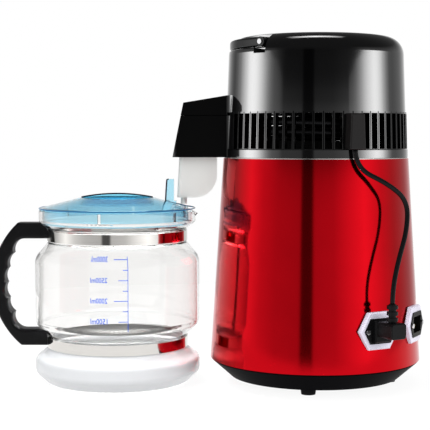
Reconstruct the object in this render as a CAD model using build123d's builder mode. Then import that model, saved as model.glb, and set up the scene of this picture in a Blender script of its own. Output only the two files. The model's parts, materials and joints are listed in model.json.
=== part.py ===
"""Countertop water distiller: boiler base, lift-off fan head with spout, and glass carafe. Millimetres."""

import os
from math import cos, degrees, pi, radians, sin, sqrt

from build123d import *

os.makedirs("parts", exist_ok=True)

# Set-out of the machine and the carafe
axis_spacing = 209.0
grip_reach = 132.0
running_gap = 0.35
seat_gap = 0.1

# Base tray and feet
foot_height = 6.0
foot_r = 8.0
foot_taper = 0.8
foot_inset = 11.0
foot_count = 4
foot_turn = -99.0
tray_inset = 1.4
tray_draw_in = 20.0
tray_top_z = 25.2
tray_edge = 1.5
tray_wall = 2.5
spigot_height = 9.0
spigot_gap = 0.8
tray_slot_length = 22.0
tray_slot_width = 4.0
tray_slot_r = 46.0
tray_slot_count = 16

# Painted shell
shell_bottom_r = 110.4
shell_top_r = 97.0
shell_top_z = 235.2
shell_wall = 1.0
shell_lip = 6.0

# Boiling pot and heater
pot_r = 88.0
pot_wall = 0.8
pot_floor_z = 62.2
pot_corner = 12.0
pot_flange_r = 96.0
plate_r = 62.0
plate_thickness = 4.0
heater_r = 47.0
heater_width = 9.0
heater_height = 8.0
heater_round = 2.5
heater_arc = 310.0
terminal_r = 1.5
terminal_length = 9.0
terminal_inset = 8.0
thermostat_r = 9.0
thermostat_height = 7.0
tab_width = 5.0
tab_thickness = 0.8
tab_length = 8.0
tab_spread = 5.0

# Power sockets low on the shell
socket_z = 66.7
socket_stand = 4.25
outlet_turn = 30.5
inlet_turn = 63.0
bracket_half = 24.0
bracket_flat = 13.0
bracket_height = 37.0
bracket_depth = 5.0
bracket_round = 1.2
insert_half = 19.4
insert_flat = 12.4
insert_height = 25.0
insert_proud = 1.0
insert_thickness = 5.0
socket_width = 27.0
socket_height = 21.0
socket_length = 14.0
socket_reach = 14.0
screw_spacing = 31.6
screw_head_r = 2.4
screw_head_height = 1.4
screw_shank_r = 1.3
screw_length = 5.0
outlet_block_width = 20.0
outlet_block_height = 21.6
outlet_block_proud = 5.0
inlet_recess_width = 23.6
inlet_recess_height = 16.4
inlet_recess_depth = 15.0
pin_width = 2.0
pin_height = 4.0
pin_length = 11.0
pin_spread = 7.0
pin_drop = 3.4

# Fan lead's plug
plug_nose_width = 16.4
plug_nose_height = 12.4
plug_nose_length = 7.5
plug_width = 18.0
plug_height = 15.4
plug_length = 23.0
plug_round = 3.0
blade_width = 5.0
blade_thickness = 1.6
blade_length = 3.5
blade_spread = 4.6
plug_rise = 3.0
boot_place = 12.0
boot_core_r = 3.7
boot_rib_r = 5.5
boot_rib_height = 3.4
boot_gap_height = 2.6
boot_ribs = 3

# Start button, on the side turned from the view
button_turn = 112.0
button_r = 7.0
button_proud = 2.8
button_length = 9.5
button_travel = 2.5
button_round = 1.2
bezel_r = 10.5
bezel_stand = 3.25
bezel_tube_r = 9.0
bezel_tube_length = 13.0
stem_r = 2.2
stem_length = 6.0
switch_size = 17.0
switch_length = 9.0

# Vent ring of the fan head
head_gap = 0.3
band_r = 96.4
band_wall = 3.0
band_top_z = 244.2
band_step = 0.8
vent_bottom_r = 95.7
vent_top_r = 94.6
vent_inner_r = 86.5
ring_top_z = 282.7
shelf_r = 78.0
shelf_bottom_z = 242.2
fin_count = 60
fin_thickness = 2.4
vent_top_land = 1.8
vent_sill = 1.0

# Spout
spout_width = 48.0
spout_reach_low = 150.0
spout_reach_high = 138.6
spout_seam_z = 279.2
spout_tip_z = 292.7
spout_root_z = 300.2
spout_corner = 6.0
spout_flare = 9.0
spout_brow = 5.0
spout_wall = 2.4
spout_root_r = 92.0
spout_guard = 21.0
spout_seam_gap = 0.6

# Filter cup and drip tube below the spout
cup_front = 145.5
cup_back = 103.5
cup_bottom_z = 194.2
cup_width = 30.0
cup_sweep = 24.0
cup_lean = 2.5
cup_corner = 5.0
cup_wall = 1.6
cup_flange = 2.0
drip_place = 138.7
drip_r = 3.3
drip_bore_r = 2.1
drip_bottom_z = 187.0
drip_collar_r = 5.0
drip_collar_height = 1.4

# Dome of the fan head
dome_bottom_r = 93.5
dome_top_r = 90.6
dome_top_z = 360.5
dome_crown = 1.2
dome_corner = 19.0
dome_wall = 2.6
rebate_r = 79.4
rebate_floor_z = 345.7
notch_half = 7.5
notch_floor_z = 340.7
notch_wall = 3.0

# Carry handle
handle_turn = 47.2
handle_inner_r = 80.4
handle_outer_r = 90.0
handle_height = 9.8
handle_z = 352.1
handle_round = 2.6
pin_r = 2.0
pin_head_r = 2.6
pin_head_height = 0.9
handle_pin_root_r = 72.0

# Condenser and steam way
lid_disc_r = 92.4
lid_disc_thickness = 1.2
gasket_inner_r = 86.0
lid_screw_r = 82.0
lid_screw_count = 6
tube_r = 4.0
tube_bore_r = 3.2
coil_r = 66.0
coil_top_z = 279.2
coil_bottom_z = 254.2
coil_turns = 2.5
steam_port_r = 40.0
steam_port_drop = 15.0
steam_bend = 11.0
tail_offset = 15.0
tail_reach = 122.0
tail_end_z = 243.2
tail_bend = 10.0

# Fan and motor
bracket_plate_r = 36.0
bracket_plate_thickness = 3.0
bracket_plate_z = 348.2
post_r = 4.0
post_ring_r = 29.0
post_count = 3
motor_r = 21.0
motor_height = 24.0
motor_edge = 3.0
shaft_r = 2.5
shaft_bite = 10.0
hub_r = 15.0
hub_height = 17.0
hub_top_z = 320.2
blade_count = 6
blade_tip_r = 70.0
fan_blade_width = 25.0
fan_blade_thickness = 2.0
blade_pitch = 30.0

# Fan lead and its cover on the vent ring
cover_turn = 18.0
cover_depth = 11.8
cover_top_width = 14.0
cover_low_width = 17.0
cover_top_z = 280.2
cover_round = 1.5
cord_r = 2.4
cord_exit_depth = 6.6
cord_exit_turn = 17.6
cord_lead_out = 18.0
cord_lead_in = 14.0
cord_arc_share = 0.45
cord_bow = [(64.0, -97.0, 211.0), (84.0, -86.0, 194.0), (83.0, -91.0, 166.0), (72.5, -104.0, 136.0)]

# Carafe glass
mouth_r = 82.5
mouth_low_z = 168.2
rim_z = 180.4
neck_r = 73.0
neck_low_z = 147.2
neck_high_z = 161.7
body_r = 86.6
body_low_z = 62.2
body_high_z = 131.2
waist_r = 73.4
waist_low_z = 35.7
waist_high_z = 49.7
bulge_high_z = 25.2
bulge_low_z = 12.0
sole_r = 74.0
glass_wall = 3.0
sole_thickness = 5.0
sole_round = 8.0
bulge_round = 8.0
neck_round = 2.5
shoulder_round = 14.0
mouth_round = 4.0
lip_reach = 90.0
lip_half = 26.0
lip_root_z = 162.2
lip_root_half = 9.0
lip_tip_round = 7.0
lip_dip = 4.6
lip_wall = 3.9
lip_start = 75.0

# Carafe bands and grip
band_thickness = 0.9
upper_band_z = 154.4
lower_band_z = 42.6
steel_band_height = 10.6
grip_width = 22.0
grip_edge = 3.5
grip_top_z = 167.2
grip_arm = 16.5
grip_thickness = 15.5
grip_bow_r = 87.0
grip_middle_z = 103.8
grip_low_z = 38.2
grip_low_arm = 16.7
grip_bend = 8.0
grip_arm_reach = 97.0
scallop_count = 4
scallop_span = 52.0
scallop_depth = 2.2
grip_bite = 10.0

# Carafe lid
flange_r = 82.0
flange_thickness = 2.0
flange_cut = 74.0
lid_rim_z = 193.8
lid_top_z = 197.7
lid_wall = 2.2
skirt_gap = 0.8
skirt_depth = 10.0
skirt_slots = 6
skirt_slot_width = 3.0
skirt_slot_turn = -98.7
well_r = 36.0
well_floor_z = 186.7
web_thickness = 7.0
inlet_start = 62.6
inlet_half = 10.0
saddle_start = 48.0
saddle_top_z = 190.2
saddle_width = 20.0
guard_start = 51.0
guard_end = 60.0
guard_top_z = 213.2
guard_low_width = 17.0
guard_high_width = 13.0
guard_lean = 7.5

# Derived places
tray_top_r = shell_bottom_r - tray_inset
tray_bottom_r = tray_top_r - tray_draw_in
foot_ring_r = tray_bottom_r - foot_inset
shell_fall = (shell_bottom_r - shell_top_r) * (socket_z - tray_top_z) / (shell_top_z - tray_top_z)
socket_face_r = shell_bottom_r - shell_fall + socket_stand
bezel_face_r = shell_bottom_r - shell_fall + bezel_stand
cover_face_r = vent_bottom_r + cover_depth
cord_exit_r = vent_bottom_r + cord_exit_depth
inlet_reach = max(
    shell_bottom_r,
    (socket_face_r + insert_proud + screw_head_height) * sin(radians(inlet_turn))
    + (screw_spacing / 2 + screw_head_r) * cos(radians(inlet_turn)),
    socket_face_r * sin(radians(inlet_turn)) + bracket_half * cos(radians(inlet_turn)),
)
machine_x = (axis_spacing + grip_reach - inlet_reach) / 2
carafe_x = machine_x - axis_spacing
machine_axis = Axis((machine_x, 0, 0), (0, 0, 1))
carafe_axis = Axis((carafe_x, 0, 0), (0, 0, 1))
machine_section = Plane((machine_x, 0, 0), x_dir=(1, 0, 0), z_dir=(0, -1, 0))
carafe_section = Plane((carafe_x, 0, 0), x_dir=(1, 0, 0), z_dir=(0, -1, 0))
standing = (Align.CENTER, Align.CENTER, Align.MIN)
hanging = (Align.CENTER, Align.CENTER, Align.MAX)


def side_plane(turn, r, z):
    """Plane on the machine's side: turn in degrees to the right of the front, X sideways and Y up."""
    a = radians(turn)
    origin = (machine_x + r * sin(a), -r * cos(a), z)
    return Plane(origin, x_dir=(cos(a), sin(a), 0), z_dir=(sin(a), -cos(a), 0))


def section_plane(angle):
    """Upright plane through the machine's axis, turned by an angle from the right."""
    a = radians(angle)
    return Plane((machine_x, 0, 0), x_dir=(cos(a), sin(a), 0), z_dir=(sin(a), -cos(a), 0))


def hexagon(half, flat, height):
    """Corners of a lying hexagon with points at the left and right."""
    top = height / 2
    return [(-half, 0), (-flat, -top), (flat, -top), (half, 0), (flat, top), (-flat, top)]


outlet_face = side_plane(outlet_turn, socket_face_r, socket_z)
plug_face = side_plane(outlet_turn, socket_face_r, socket_z + plug_rise)
inlet_face = side_plane(inlet_turn, socket_face_r, socket_z)
button_face = side_plane(button_turn, bezel_face_r, socket_z)
outlet_out = Axis(outlet_face.origin, outlet_face.z_dir)
inlet_out = Axis(inlet_face.origin, inlet_face.z_dir)
button_out = Axis(button_face.origin, button_face.z_dir)
shell_height = shell_top_z - tray_top_z
outlet_front = insert_proud + outlet_block_proud
bracket_window = hexagon(insert_half + seat_gap, insert_flat + seat_gap, insert_height + 2 * seat_gap)

# Base tray with a spigot for the shell and cooling slots in the floor
with BuildPart() as base_tray:
    with BuildSketch(machine_section):
        with BuildLine():
            spigot_r = shell_bottom_r - shell_wall - spigot_gap
            Polyline(
                (0, foot_height),
                (tray_bottom_r, foot_height),
                (tray_top_r, tray_top_z - tray_edge),
                (tray_top_r, tray_top_z),
                (spigot_r, tray_top_z),
                (spigot_r, tray_top_z + spigot_height),
                (spigot_r - tray_wall, tray_top_z + spigot_height),
                (spigot_r - tray_wall, tray_top_z - tray_edge),
                (tray_bottom_r - tray_wall / 2, foot_height + tray_wall),
                (0, foot_height + tray_wall),
                close=True,
            )
        make_face()
    revolve(axis=machine_axis)
    with Locations((machine_x, 0, foot_height)):
        with PolarLocations(tray_slot_r, tray_slot_count):
            Box(tray_slot_length, tray_slot_width, 3 * tray_wall, mode=Mode.SUBTRACT)
base_tray.part.label = "base_tray"
export_step(base_tray.part, "parts/base_tray.step")

# Four rubber feet under the tray
with BuildPart() as feet:
    with Locations((machine_x, 0, 0)):
        with PolarLocations(foot_ring_r, foot_count, start_angle=foot_turn):
            Cone(foot_r - foot_taper, foot_r, foot_height, align=standing)
feet.part.label = "feet"
export_step(feet.part, "parts/feet.step")

# Tapered painted shell with openings for the sockets and the button
with BuildPart() as outer_shell:
    with BuildSketch(machine_section):
        with BuildLine():
            Polyline(
                (shell_bottom_r, tray_top_z),
                (shell_top_r, shell_top_z),
                (shell_top_r - shell_lip, shell_top_z),
                (shell_top_r - shell_lip, shell_top_z - shell_wall),
                (shell_top_r - shell_wall, shell_top_z - shell_wall),
                (shell_bottom_r - shell_wall, tray_top_z),
                close=True,
            )
        make_face()
    revolve(axis=machine_axis)
    with BuildSketch(outlet_face, inlet_face):
        Rectangle(socket_width + 2 * seat_gap, socket_height + 2 * seat_gap)
    extrude(amount=-socket_reach, mode=Mode.SUBTRACT)
    with BuildSketch(button_face):
        Circle(bezel_tube_r + seat_gap)
    extrude(amount=-bezel_tube_length, mode=Mode.SUBTRACT)
outer_shell.part.label = "outer_shell"
export_step(outer_shell.part, "parts/outer_shell.step")

# Steel boiling pot that hangs by its flange on the shell's lip
with BuildPart() as boiling_pot:
    with BuildSketch(machine_section):
        with BuildLine():
            flange_top = shell_top_z + pot_wall
            pot_bore = pot_r - pot_wall
            FilletPolyline((0, pot_floor_z), (pot_r, pot_floor_z), (pot_r, shell_top_z), radius=pot_corner)
            Polyline(
                (pot_r, shell_top_z),
                (pot_flange_r, shell_top_z),
                (pot_flange_r, flange_top),
                (pot_bore, flange_top),
            )
            FilletPolyline(
                (pot_bore, flange_top),
                (pot_bore, pot_floor_z + pot_wall),
                (0, pot_floor_z + pot_wall),
                radius=pot_corner - pot_wall,
            )
            Line((0, pot_floor_z + pot_wall), (0, pot_floor_z))
        make_face()
    revolve(axis=machine_axis)
boiling_pot.part.label = "boiling_pot"
export_step(boiling_pot.part, "parts/boiling_pot.step")

# Aluminium plate under the pot
with BuildPart() as heater_plate:
    with Locations((machine_x, 0, pot_floor_z)):
        Cylinder(plate_r, plate_thickness, align=hanging)
heater_plate.part.label = "heater_plate"
export_step(heater_plate.part, "parts/heater_plate.step")

# Open heating ring with two terminals, flat against the plate
plate_low_z = pot_floor_z - plate_thickness
with BuildPart() as heating_ring:
    with BuildSketch(machine_section):
        with Locations((heater_r, plate_low_z - heater_height / 2)):
            RectangleRounded(heater_width, heater_height, heater_round)
    revolve(axis=machine_axis, revolution_arc=heater_arc)
    heater_ends = [radians(terminal_inset), radians(heater_arc - terminal_inset)]
    heater_mid_z = plate_low_z - heater_height / 2
    terminal_places = [(machine_x + heater_r * cos(a), heater_r * sin(a), heater_mid_z) for a in heater_ends]
    with Locations(*terminal_places):
        Cylinder(terminal_r, heater_height / 2 + terminal_length, align=hanging)
heating_ring.part.label = "heating_ring"
export_step(heating_ring.part, "parts/heating_ring.step")

# Cut-out thermostat in the middle of the plate
with BuildPart() as thermostat:
    with Locations((machine_x, 0, plate_low_z)):
        Cylinder(thermostat_r, thermostat_height, align=hanging)
    with Locations(*[(machine_x + s * tab_spread, 0, plate_low_z - thermostat_height) for s in (-1, 1)]):
        Box(tab_thickness, tab_width, tab_length, align=hanging)
thermostat.part.label = "thermostat"
export_step(thermostat.part, "parts/thermostat.step")

# White bracket around the fan's outlet
with BuildPart() as outlet_bracket:
    with BuildSketch(outlet_face):
        Polygon(*hexagon(bracket_half, bracket_flat, bracket_height), align=None)
        Polygon(*bracket_window, align=None, mode=Mode.SUBTRACT)
    extrude(amount=-bracket_depth)
    chamfer(outlet_bracket.faces().sort_by(outlet_out)[-1].outer_wire().edges(), bracket_round)
    with Locations((machine_x, 0, tray_top_z)):
        Cone(shell_bottom_r, shell_top_r, shell_height, align=standing, mode=Mode.SUBTRACT)
outlet_bracket.part.label = "outlet_bracket"
export_step(outlet_bracket.part, "parts/outlet_bracket.step")

# Fan outlet: hexagonal insert, raised block and cavity for the plug's nose
with BuildPart() as fan_outlet:
    with BuildSketch(outlet_face.offset(insert_proud)):
        Polygon(*hexagon(insert_half, insert_flat, insert_height), align=None)
    extrude(amount=-insert_thickness)
    with Locations((machine_x, 0, tray_top_z)):
        Cone(shell_bottom_r, shell_top_r, shell_height, align=standing, mode=Mode.SUBTRACT)
    with BuildSketch(outlet_face.offset(insert_proud)):
        Rectangle(outlet_block_width, outlet_block_height)
    extrude(amount=outlet_block_proud)
    chamfer(fan_outlet.faces().sort_by(outlet_out)[-1].edges(), bracket_round)
    with BuildSketch(outlet_face.offset(insert_proud)):
        Rectangle(socket_width, socket_height)
    extrude(amount=-socket_length)
    with BuildSketch(plug_face.offset(outlet_front)):
        Rectangle(plug_nose_width + 2 * running_gap, plug_nose_height + 2 * running_gap)
    extrude(amount=-(plug_nose_length + blade_length + 2 * running_gap), mode=Mode.SUBTRACT)
    with BuildSketch(outlet_face.offset(insert_proud)):
        with Locations((-screw_spacing / 2, 0), (screw_spacing / 2, 0)):
            Circle(screw_shank_r + seat_gap)
    extrude(amount=-screw_length, mode=Mode.SUBTRACT)
fan_outlet.part.label = "fan_outlet"
export_step(fan_outlet.part, "parts/fan_outlet.step")

# White bracket around the mains inlet
with BuildPart() as inlet_bracket:
    with BuildSketch(inlet_face):
        Polygon(*hexagon(bracket_half, bracket_flat, bracket_height), align=None)
        Polygon(*bracket_window, align=None, mode=Mode.SUBTRACT)
    extrude(amount=-bracket_depth)
    chamfer(inlet_bracket.faces().sort_by(inlet_out)[-1].outer_wire().edges(), bracket_round)
    with Locations((machine_x, 0, tray_top_z)):
        Cone(shell_bottom_r, shell_top_r, shell_height, align=standing, mode=Mode.SUBTRACT)
inlet_bracket.part.label = "inlet_bracket"
export_step(inlet_bracket.part, "parts/inlet_bracket.step")

# Mains inlet: hexagonal insert with a deep recess
with BuildPart() as mains_inlet:
    with BuildSketch(inlet_face.offset(insert_proud)):
        Polygon(*hexagon(insert_half, insert_flat, insert_height), align=None)
    extrude(amount=-insert_thickness)
    with Locations((machine_x, 0, tray_top_z)):
        Cone(shell_bottom_r, shell_top_r, shell_height, align=standing, mode=Mode.SUBTRACT)
    with BuildSketch(inlet_face.offset(insert_proud)):
        Rectangle(socket_width, socket_height)
    extrude(amount=-(socket_length + pin_height))
    with BuildSketch(inlet_face.offset(insert_proud)):
        Rectangle(inlet_recess_width, inlet_recess_height)
    extrude(amount=-inlet_recess_depth, mode=Mode.SUBTRACT)
    with BuildSketch(inlet_face.offset(insert_proud)):
        with Locations((-screw_spacing / 2, 0), (screw_spacing / 2, 0)):
            Circle(screw_shank_r + seat_gap)
    extrude(amount=-screw_length, mode=Mode.SUBTRACT)
mains_inlet.part.label = "mains_inlet"
export_step(mains_inlet.part, "parts/mains_inlet.step")

# Three contact pins on the recess floor
with BuildPart() as inlet_pins:
    with BuildSketch(inlet_face.offset(insert_proud - inlet_recess_depth)):
        with Locations((-pin_spread, -pin_drop), (pin_spread, -pin_drop), (0, pin_drop)):
            Rectangle(pin_width, pin_height)
    extrude(amount=pin_length)
inlet_pins.part.label = "inlet_pins"
export_step(inlet_pins.part, "parts/inlet_pins.step")

# Pan-head screws of both sockets
with BuildPart() as socket_screws:
    with BuildSketch(outlet_face.offset(insert_proud), inlet_face.offset(insert_proud)):
        with Locations((-screw_spacing / 2, 0), (screw_spacing / 2, 0)):
            Circle(screw_head_r)
    extrude(amount=screw_head_height)
    with BuildSketch(outlet_face.offset(insert_proud), inlet_face.offset(insert_proud)):
        with Locations((-screw_spacing / 2, 0), (screw_spacing / 2, 0)):
            Circle(screw_shank_r)
    extrude(amount=-(screw_length - seat_gap))
socket_screws.part.label = "socket_screws"
export_step(socket_screws.part, "parts/socket_screws.step")

# Round bezel and guide tube of the start button
with BuildPart() as button_bezel:
    with BuildSketch(button_face):
        Circle(bezel_r)
    extrude(amount=-bezel_tube_length)
    with Locations((machine_x, 0, tray_top_z)):
        Cone(shell_bottom_r, shell_top_r, shell_height, align=standing, mode=Mode.SUBTRACT)
    with BuildSketch(button_face):
        Circle(bezel_tube_r)
    extrude(amount=-bezel_tube_length)
    with BuildSketch(button_face):
        Circle(button_r + running_gap)
    extrude(amount=-bezel_tube_length, mode=Mode.SUBTRACT)
button_bezel.part.label = "button_bezel"
export_step(button_bezel.part, "parts/button_bezel.step")

# Start button with its stem
with BuildPart() as start_button:
    with BuildSketch(button_face.offset(button_proud)):
        Circle(button_r)
    extrude(amount=-button_length)
    fillet(start_button.faces().sort_by(button_out)[-1].edges(), button_round)
    with BuildSketch(button_face.offset(button_proud - button_length)):
        Circle(stem_r)
    extrude(amount=-stem_length)
start_button.part.label = "start_button"
export_step(start_button.part, "parts/start_button.step")

# Switch block that closes the bezel's tube and takes the stem
with BuildPart() as start_switch:
    with BuildSketch(button_face.offset(-bezel_tube_length)):
        RectangleRounded(switch_size, switch_size, button_round)
    extrude(amount=-switch_length)
    with BuildSketch(button_face.offset(-bezel_tube_length)):
        Circle(stem_r + running_gap)
    stem_end = bezel_tube_length - (stem_length + button_length - button_proud)
    extrude(amount=-(button_travel - stem_end + 2 * running_gap), mode=Mode.SUBTRACT)
start_switch.part.label = "start_switch"
export_step(start_switch.part, "parts/start_switch.step")

# Spout seen from above: a box that flares into the round head
ring_bottom_z = shell_top_z + pot_wall + head_gap
spout_bottom_z = ring_bottom_z
front_slope = (spout_reach_low - spout_reach_high) / (spout_tip_z - spout_bottom_z)
spout_reach_seam = spout_reach_low - front_slope * (spout_seam_z - spout_bottom_z)
with BuildSketch() as spout_plan:
    with Locations((machine_x, 0)):
        Circle(spout_root_r)
    with Locations((machine_x, 0)):
        Rectangle(spout_reach_low, spout_width, align=(Align.MAX, Align.CENTER))
    fillet(spout_plan.vertices().group_by(Axis.X)[0], spout_corner)
    root_x = machine_x - sqrt(spout_root_r**2 - (spout_width / 2) ** 2)
    fillet(spout_plan.vertices().filter_by(lambda v: abs(v.X - root_x) < spout_wall), spout_flare)
    with Locations((machine_x, 0)):
        Circle(vent_inner_r, mode=Mode.SUBTRACT)
    with Locations((machine_x - root_x / 2, 0)):
        Rectangle(2 * axis_spacing, 2 * axis_spacing, align=(Align.MIN, Align.CENTER), mode=Mode.SUBTRACT)

# Lower spout box form
with BuildPart() as spout_box:
    with BuildSketch(machine_section):
        with BuildLine():
            Polyline(
                (-spout_reach_low, spout_bottom_z),
                (-vent_inner_r, spout_bottom_z),
                (-vent_inner_r, spout_seam_z),
                (-spout_reach_seam, spout_seam_z),
                close=True,
            )
        make_face()
    extrude(amount=spout_root_r, both=True)
    extrude(spout_plan.sketch, amount=dome_top_z, mode=Mode.INTERSECT)

# Upper spout roof form
with BuildPart() as spout_roof:
    with BuildSketch(machine_section):
        with BuildLine():
            Polyline(
                (-spout_reach_seam, spout_seam_z + spout_seam_gap),
                (-vent_inner_r, spout_seam_z + spout_seam_gap),
                (-vent_inner_r, spout_root_z),
                (-dome_bottom_r, spout_root_z),
                (-spout_reach_high, spout_tip_z),
                close=True,
            )
        roof_face = make_face()
        brow = (machine_x - spout_reach_high, 0, spout_tip_z)
        fillet(roof_face.vertices().sort_by_distance(brow)[0], spout_brow)
    extrude(amount=spout_root_r, both=True)
    extrude(spout_plan.sketch, amount=dome_top_z, mode=Mode.INTERSECT)

# Vent ring: lower band, shelf, upright fins and the spout box
fin_pitch = 360 / fin_count
vent_mid_r = (vent_bottom_r + vent_inner_r) / 2
slot_width = 2 * pi * vent_bottom_r / fin_count - fin_thickness
slot_low_z = band_top_z + vent_sill
slot_height = ring_top_z - vent_top_land - slot_low_z
cover_angle = cover_turn - 90
cover_guard = degrees(cover_low_width / 2 / vent_bottom_r) + fin_pitch / 2
slot_angles = [fin_pitch * (k + 0.5) for k in range(fin_count)]
open_angles = [
    a
    for a in slot_angles
    if abs(a - 180) > spout_guard and abs((a - cover_angle + 180) % 360 - 180) > cover_guard
]
with BuildPart() as vent_ring:
    with BuildSketch(machine_section):
        with BuildLine():
            Polyline(
                (band_r, ring_bottom_z),
                (band_r, band_top_z),
                (vent_bottom_r, band_top_z + band_step),
                (vent_top_r, ring_top_z),
                (vent_inner_r, ring_top_z),
                (vent_inner_r, band_top_z),
                (shelf_r, band_top_z),
                (shelf_r, shelf_bottom_z),
                (band_r - band_wall, shelf_bottom_z),
                (band_r - band_wall, ring_bottom_z),
                close=True,
            )
        make_face()
    revolve(axis=machine_axis)
    slot_places = [
        Location(section_plane(a).from_local_coords((vent_mid_r, slot_low_z, 0)), (0, 0, a))
        for a in open_angles
    ]
    with Locations(*slot_places):
        Box(2 * (vent_bottom_r - vent_inner_r), slot_width, slot_height, align=standing, mode=Mode.SUBTRACT)
    add(spout_box.part)
    with Locations((machine_x, 0, shelf_bottom_z)):
        Cylinder(band_r - band_wall, shelf_bottom_z - tray_top_z, align=hanging, mode=Mode.SUBTRACT)
    with BuildSketch(machine_section):
        with BuildLine():
            Polyline(
                (-spout_reach_low + spout_wall, spout_bottom_z + spout_wall),
                (-band_r, spout_bottom_z + spout_wall),
                (-band_r, spout_seam_z),
                (-spout_reach_seam + spout_wall, spout_seam_z),
                close=True,
            )
        make_face()
    extrude(amount=spout_width / 2 - spout_wall, both=True, mode=Mode.SUBTRACT)
    with Locations((machine_x - (cup_front + cup_back) / 2, 0, spout_bottom_z)):
        Box(
            cup_front - cup_back + 2 * seat_gap,
            cup_width + 2 * seat_gap,
            3 * spout_wall,
            mode=Mode.SUBTRACT,
        )
    tail_start = (machine_x - shelf_r, -tail_offset, coil_bottom_z)
    with BuildSketch(Plane(tail_start, x_dir=(0, 1, 0), z_dir=(-1, 0, 0))):
        Circle(tube_r + seat_gap)
    extrude(amount=band_r - shelf_r + spout_wall, mode=Mode.SUBTRACT)
    with Locations((machine_x, 0, shelf_bottom_z)):
        with PolarLocations(lid_screw_r, lid_screw_count):
            Cylinder(screw_shank_r + seat_gap, 3 * screw_length, mode=Mode.SUBTRACT)
vent_ring.part.label = "vent_ring"
export_step(vent_ring.part, "parts/vent_ring.step")

# Dome with the spout's roof, the handle's rebate and its pivot notches
notch_cavity_z = notch_floor_z - notch_wall
cavity_r = rebate_r - notch_wall
cavity_top_z = dome_top_z - dome_wall
pivot_ways = [section_plane(handle_turn).x_dir, section_plane(handle_turn + 180).x_dir]
pivot_planes = [Plane((machine_x, 0, handle_z), x_dir=(0, 0, 1), z_dir=way) for way in pivot_ways]
notch_floors = [Plane((machine_x, 0, notch_floor_z), x_dir=way, z_dir=(0, 0, 1)) for way in pivot_ways]
with BuildPart() as head_dome:
    with BuildSketch(machine_section):
        with BuildLine():
            Polyline((0, dome_top_z + dome_crown), (0, ring_top_z), (dome_bottom_r, ring_top_z))
            FilletPolyline(
                (dome_bottom_r, ring_top_z),
                (dome_top_r, dome_top_z),
                (0, dome_top_z + dome_crown),
                radius=dome_corner,
            )
        make_face()
    revolve(axis=machine_axis)
    add(spout_roof.part)
    with Locations((machine_x, 0, ring_top_z)):
        Cylinder(band_r, ring_top_z, align=hanging, mode=Mode.SUBTRACT)
    with BuildSketch(machine_section):
        with BuildLine():
            Polyline(
                (-spout_reach_seam + spout_wall, spout_seam_z),
                (-vent_inner_r, spout_seam_z),
                (-vent_inner_r, spout_tip_z - spout_wall),
                (-spout_reach_high + spout_wall, spout_tip_z - spout_wall - spout_brow / 2),
                close=True,
            )
        make_face()
    extrude(amount=spout_width / 2 - spout_wall, both=True, mode=Mode.SUBTRACT)
    with BuildSketch(machine_section):
        with BuildLine():
            Polyline(
                (0, ring_top_z),
                (dome_bottom_r - dome_wall, ring_top_z),
                (dome_top_r - dome_wall, notch_cavity_z),
                (cavity_r, notch_cavity_z),
                (cavity_r, cavity_top_z),
                (0, cavity_top_z),
                close=True,
            )
        make_face()
    revolve(axis=machine_axis, mode=Mode.SUBTRACT)
    with BuildSketch(section_plane(handle_turn)):
        with BuildLine():
            Polyline(
                (rebate_r, rebate_floor_z),
                (2 * rebate_r, rebate_floor_z),
                (2 * rebate_r, 2 * dome_top_z),
                (rebate_r, 2 * dome_top_z),
                close=True,
            )
        make_face()
    revolve(axis=machine_axis, revolution_arc=180, mode=Mode.SUBTRACT)
    with BuildSketch(*notch_floors):
        with Locations((rebate_r, 0)):
            Rectangle(rebate_r, 2 * notch_half, align=(Align.MIN, Align.CENTER))
    extrude(amount=dome_top_z, mode=Mode.SUBTRACT)
    with BuildSketch(*pivot_planes):
        Circle(pin_r + seat_gap)
    extrude(amount=handle_outer_r, mode=Mode.SUBTRACT)
head_dome.part.label = "head_dome"
export_step(head_dome.part, "parts/head_dome.step")

# Half-ring carry handle with a knuckle at each end
handle_low_z = handle_z - handle_height / 2
with BuildPart() as carry_handle:
    with BuildSketch(section_plane(handle_turn)):
        with Locations(((handle_inner_r + handle_outer_r) / 2, handle_z)):
            RectangleRounded(handle_outer_r - handle_inner_r, handle_height, handle_round)
    revolve(axis=machine_axis, revolution_arc=180)
    for p in pivot_planes:
        with BuildSketch(p.offset(handle_inner_r)):
            Circle(handle_height / 2)
        extrude(amount=handle_outer_r - handle_inner_r)
        with BuildSketch(p.offset(rebate_r)):
            Circle(pin_r + running_gap)
        extrude(amount=2 * (handle_outer_r - rebate_r), mode=Mode.SUBTRACT)
carry_handle.part.label = "carry_handle"
export_step(carry_handle.part, "parts/carry_handle.step")

# Two headed pins on the handle's axis
with BuildPart() as handle_pins:
    for p in pivot_planes:
        with BuildSketch(p.offset(handle_pin_root_r)):
            Circle(pin_r)
        extrude(amount=handle_outer_r + running_gap - handle_pin_root_r)
        with BuildSketch(p.offset(handle_outer_r + running_gap)):
            Circle(pin_head_r)
        extrude(amount=pin_head_height)
handle_pins.part.label = "handle_pins"
export_step(handle_pins.part, "parts/handle_pins.step")

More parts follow.
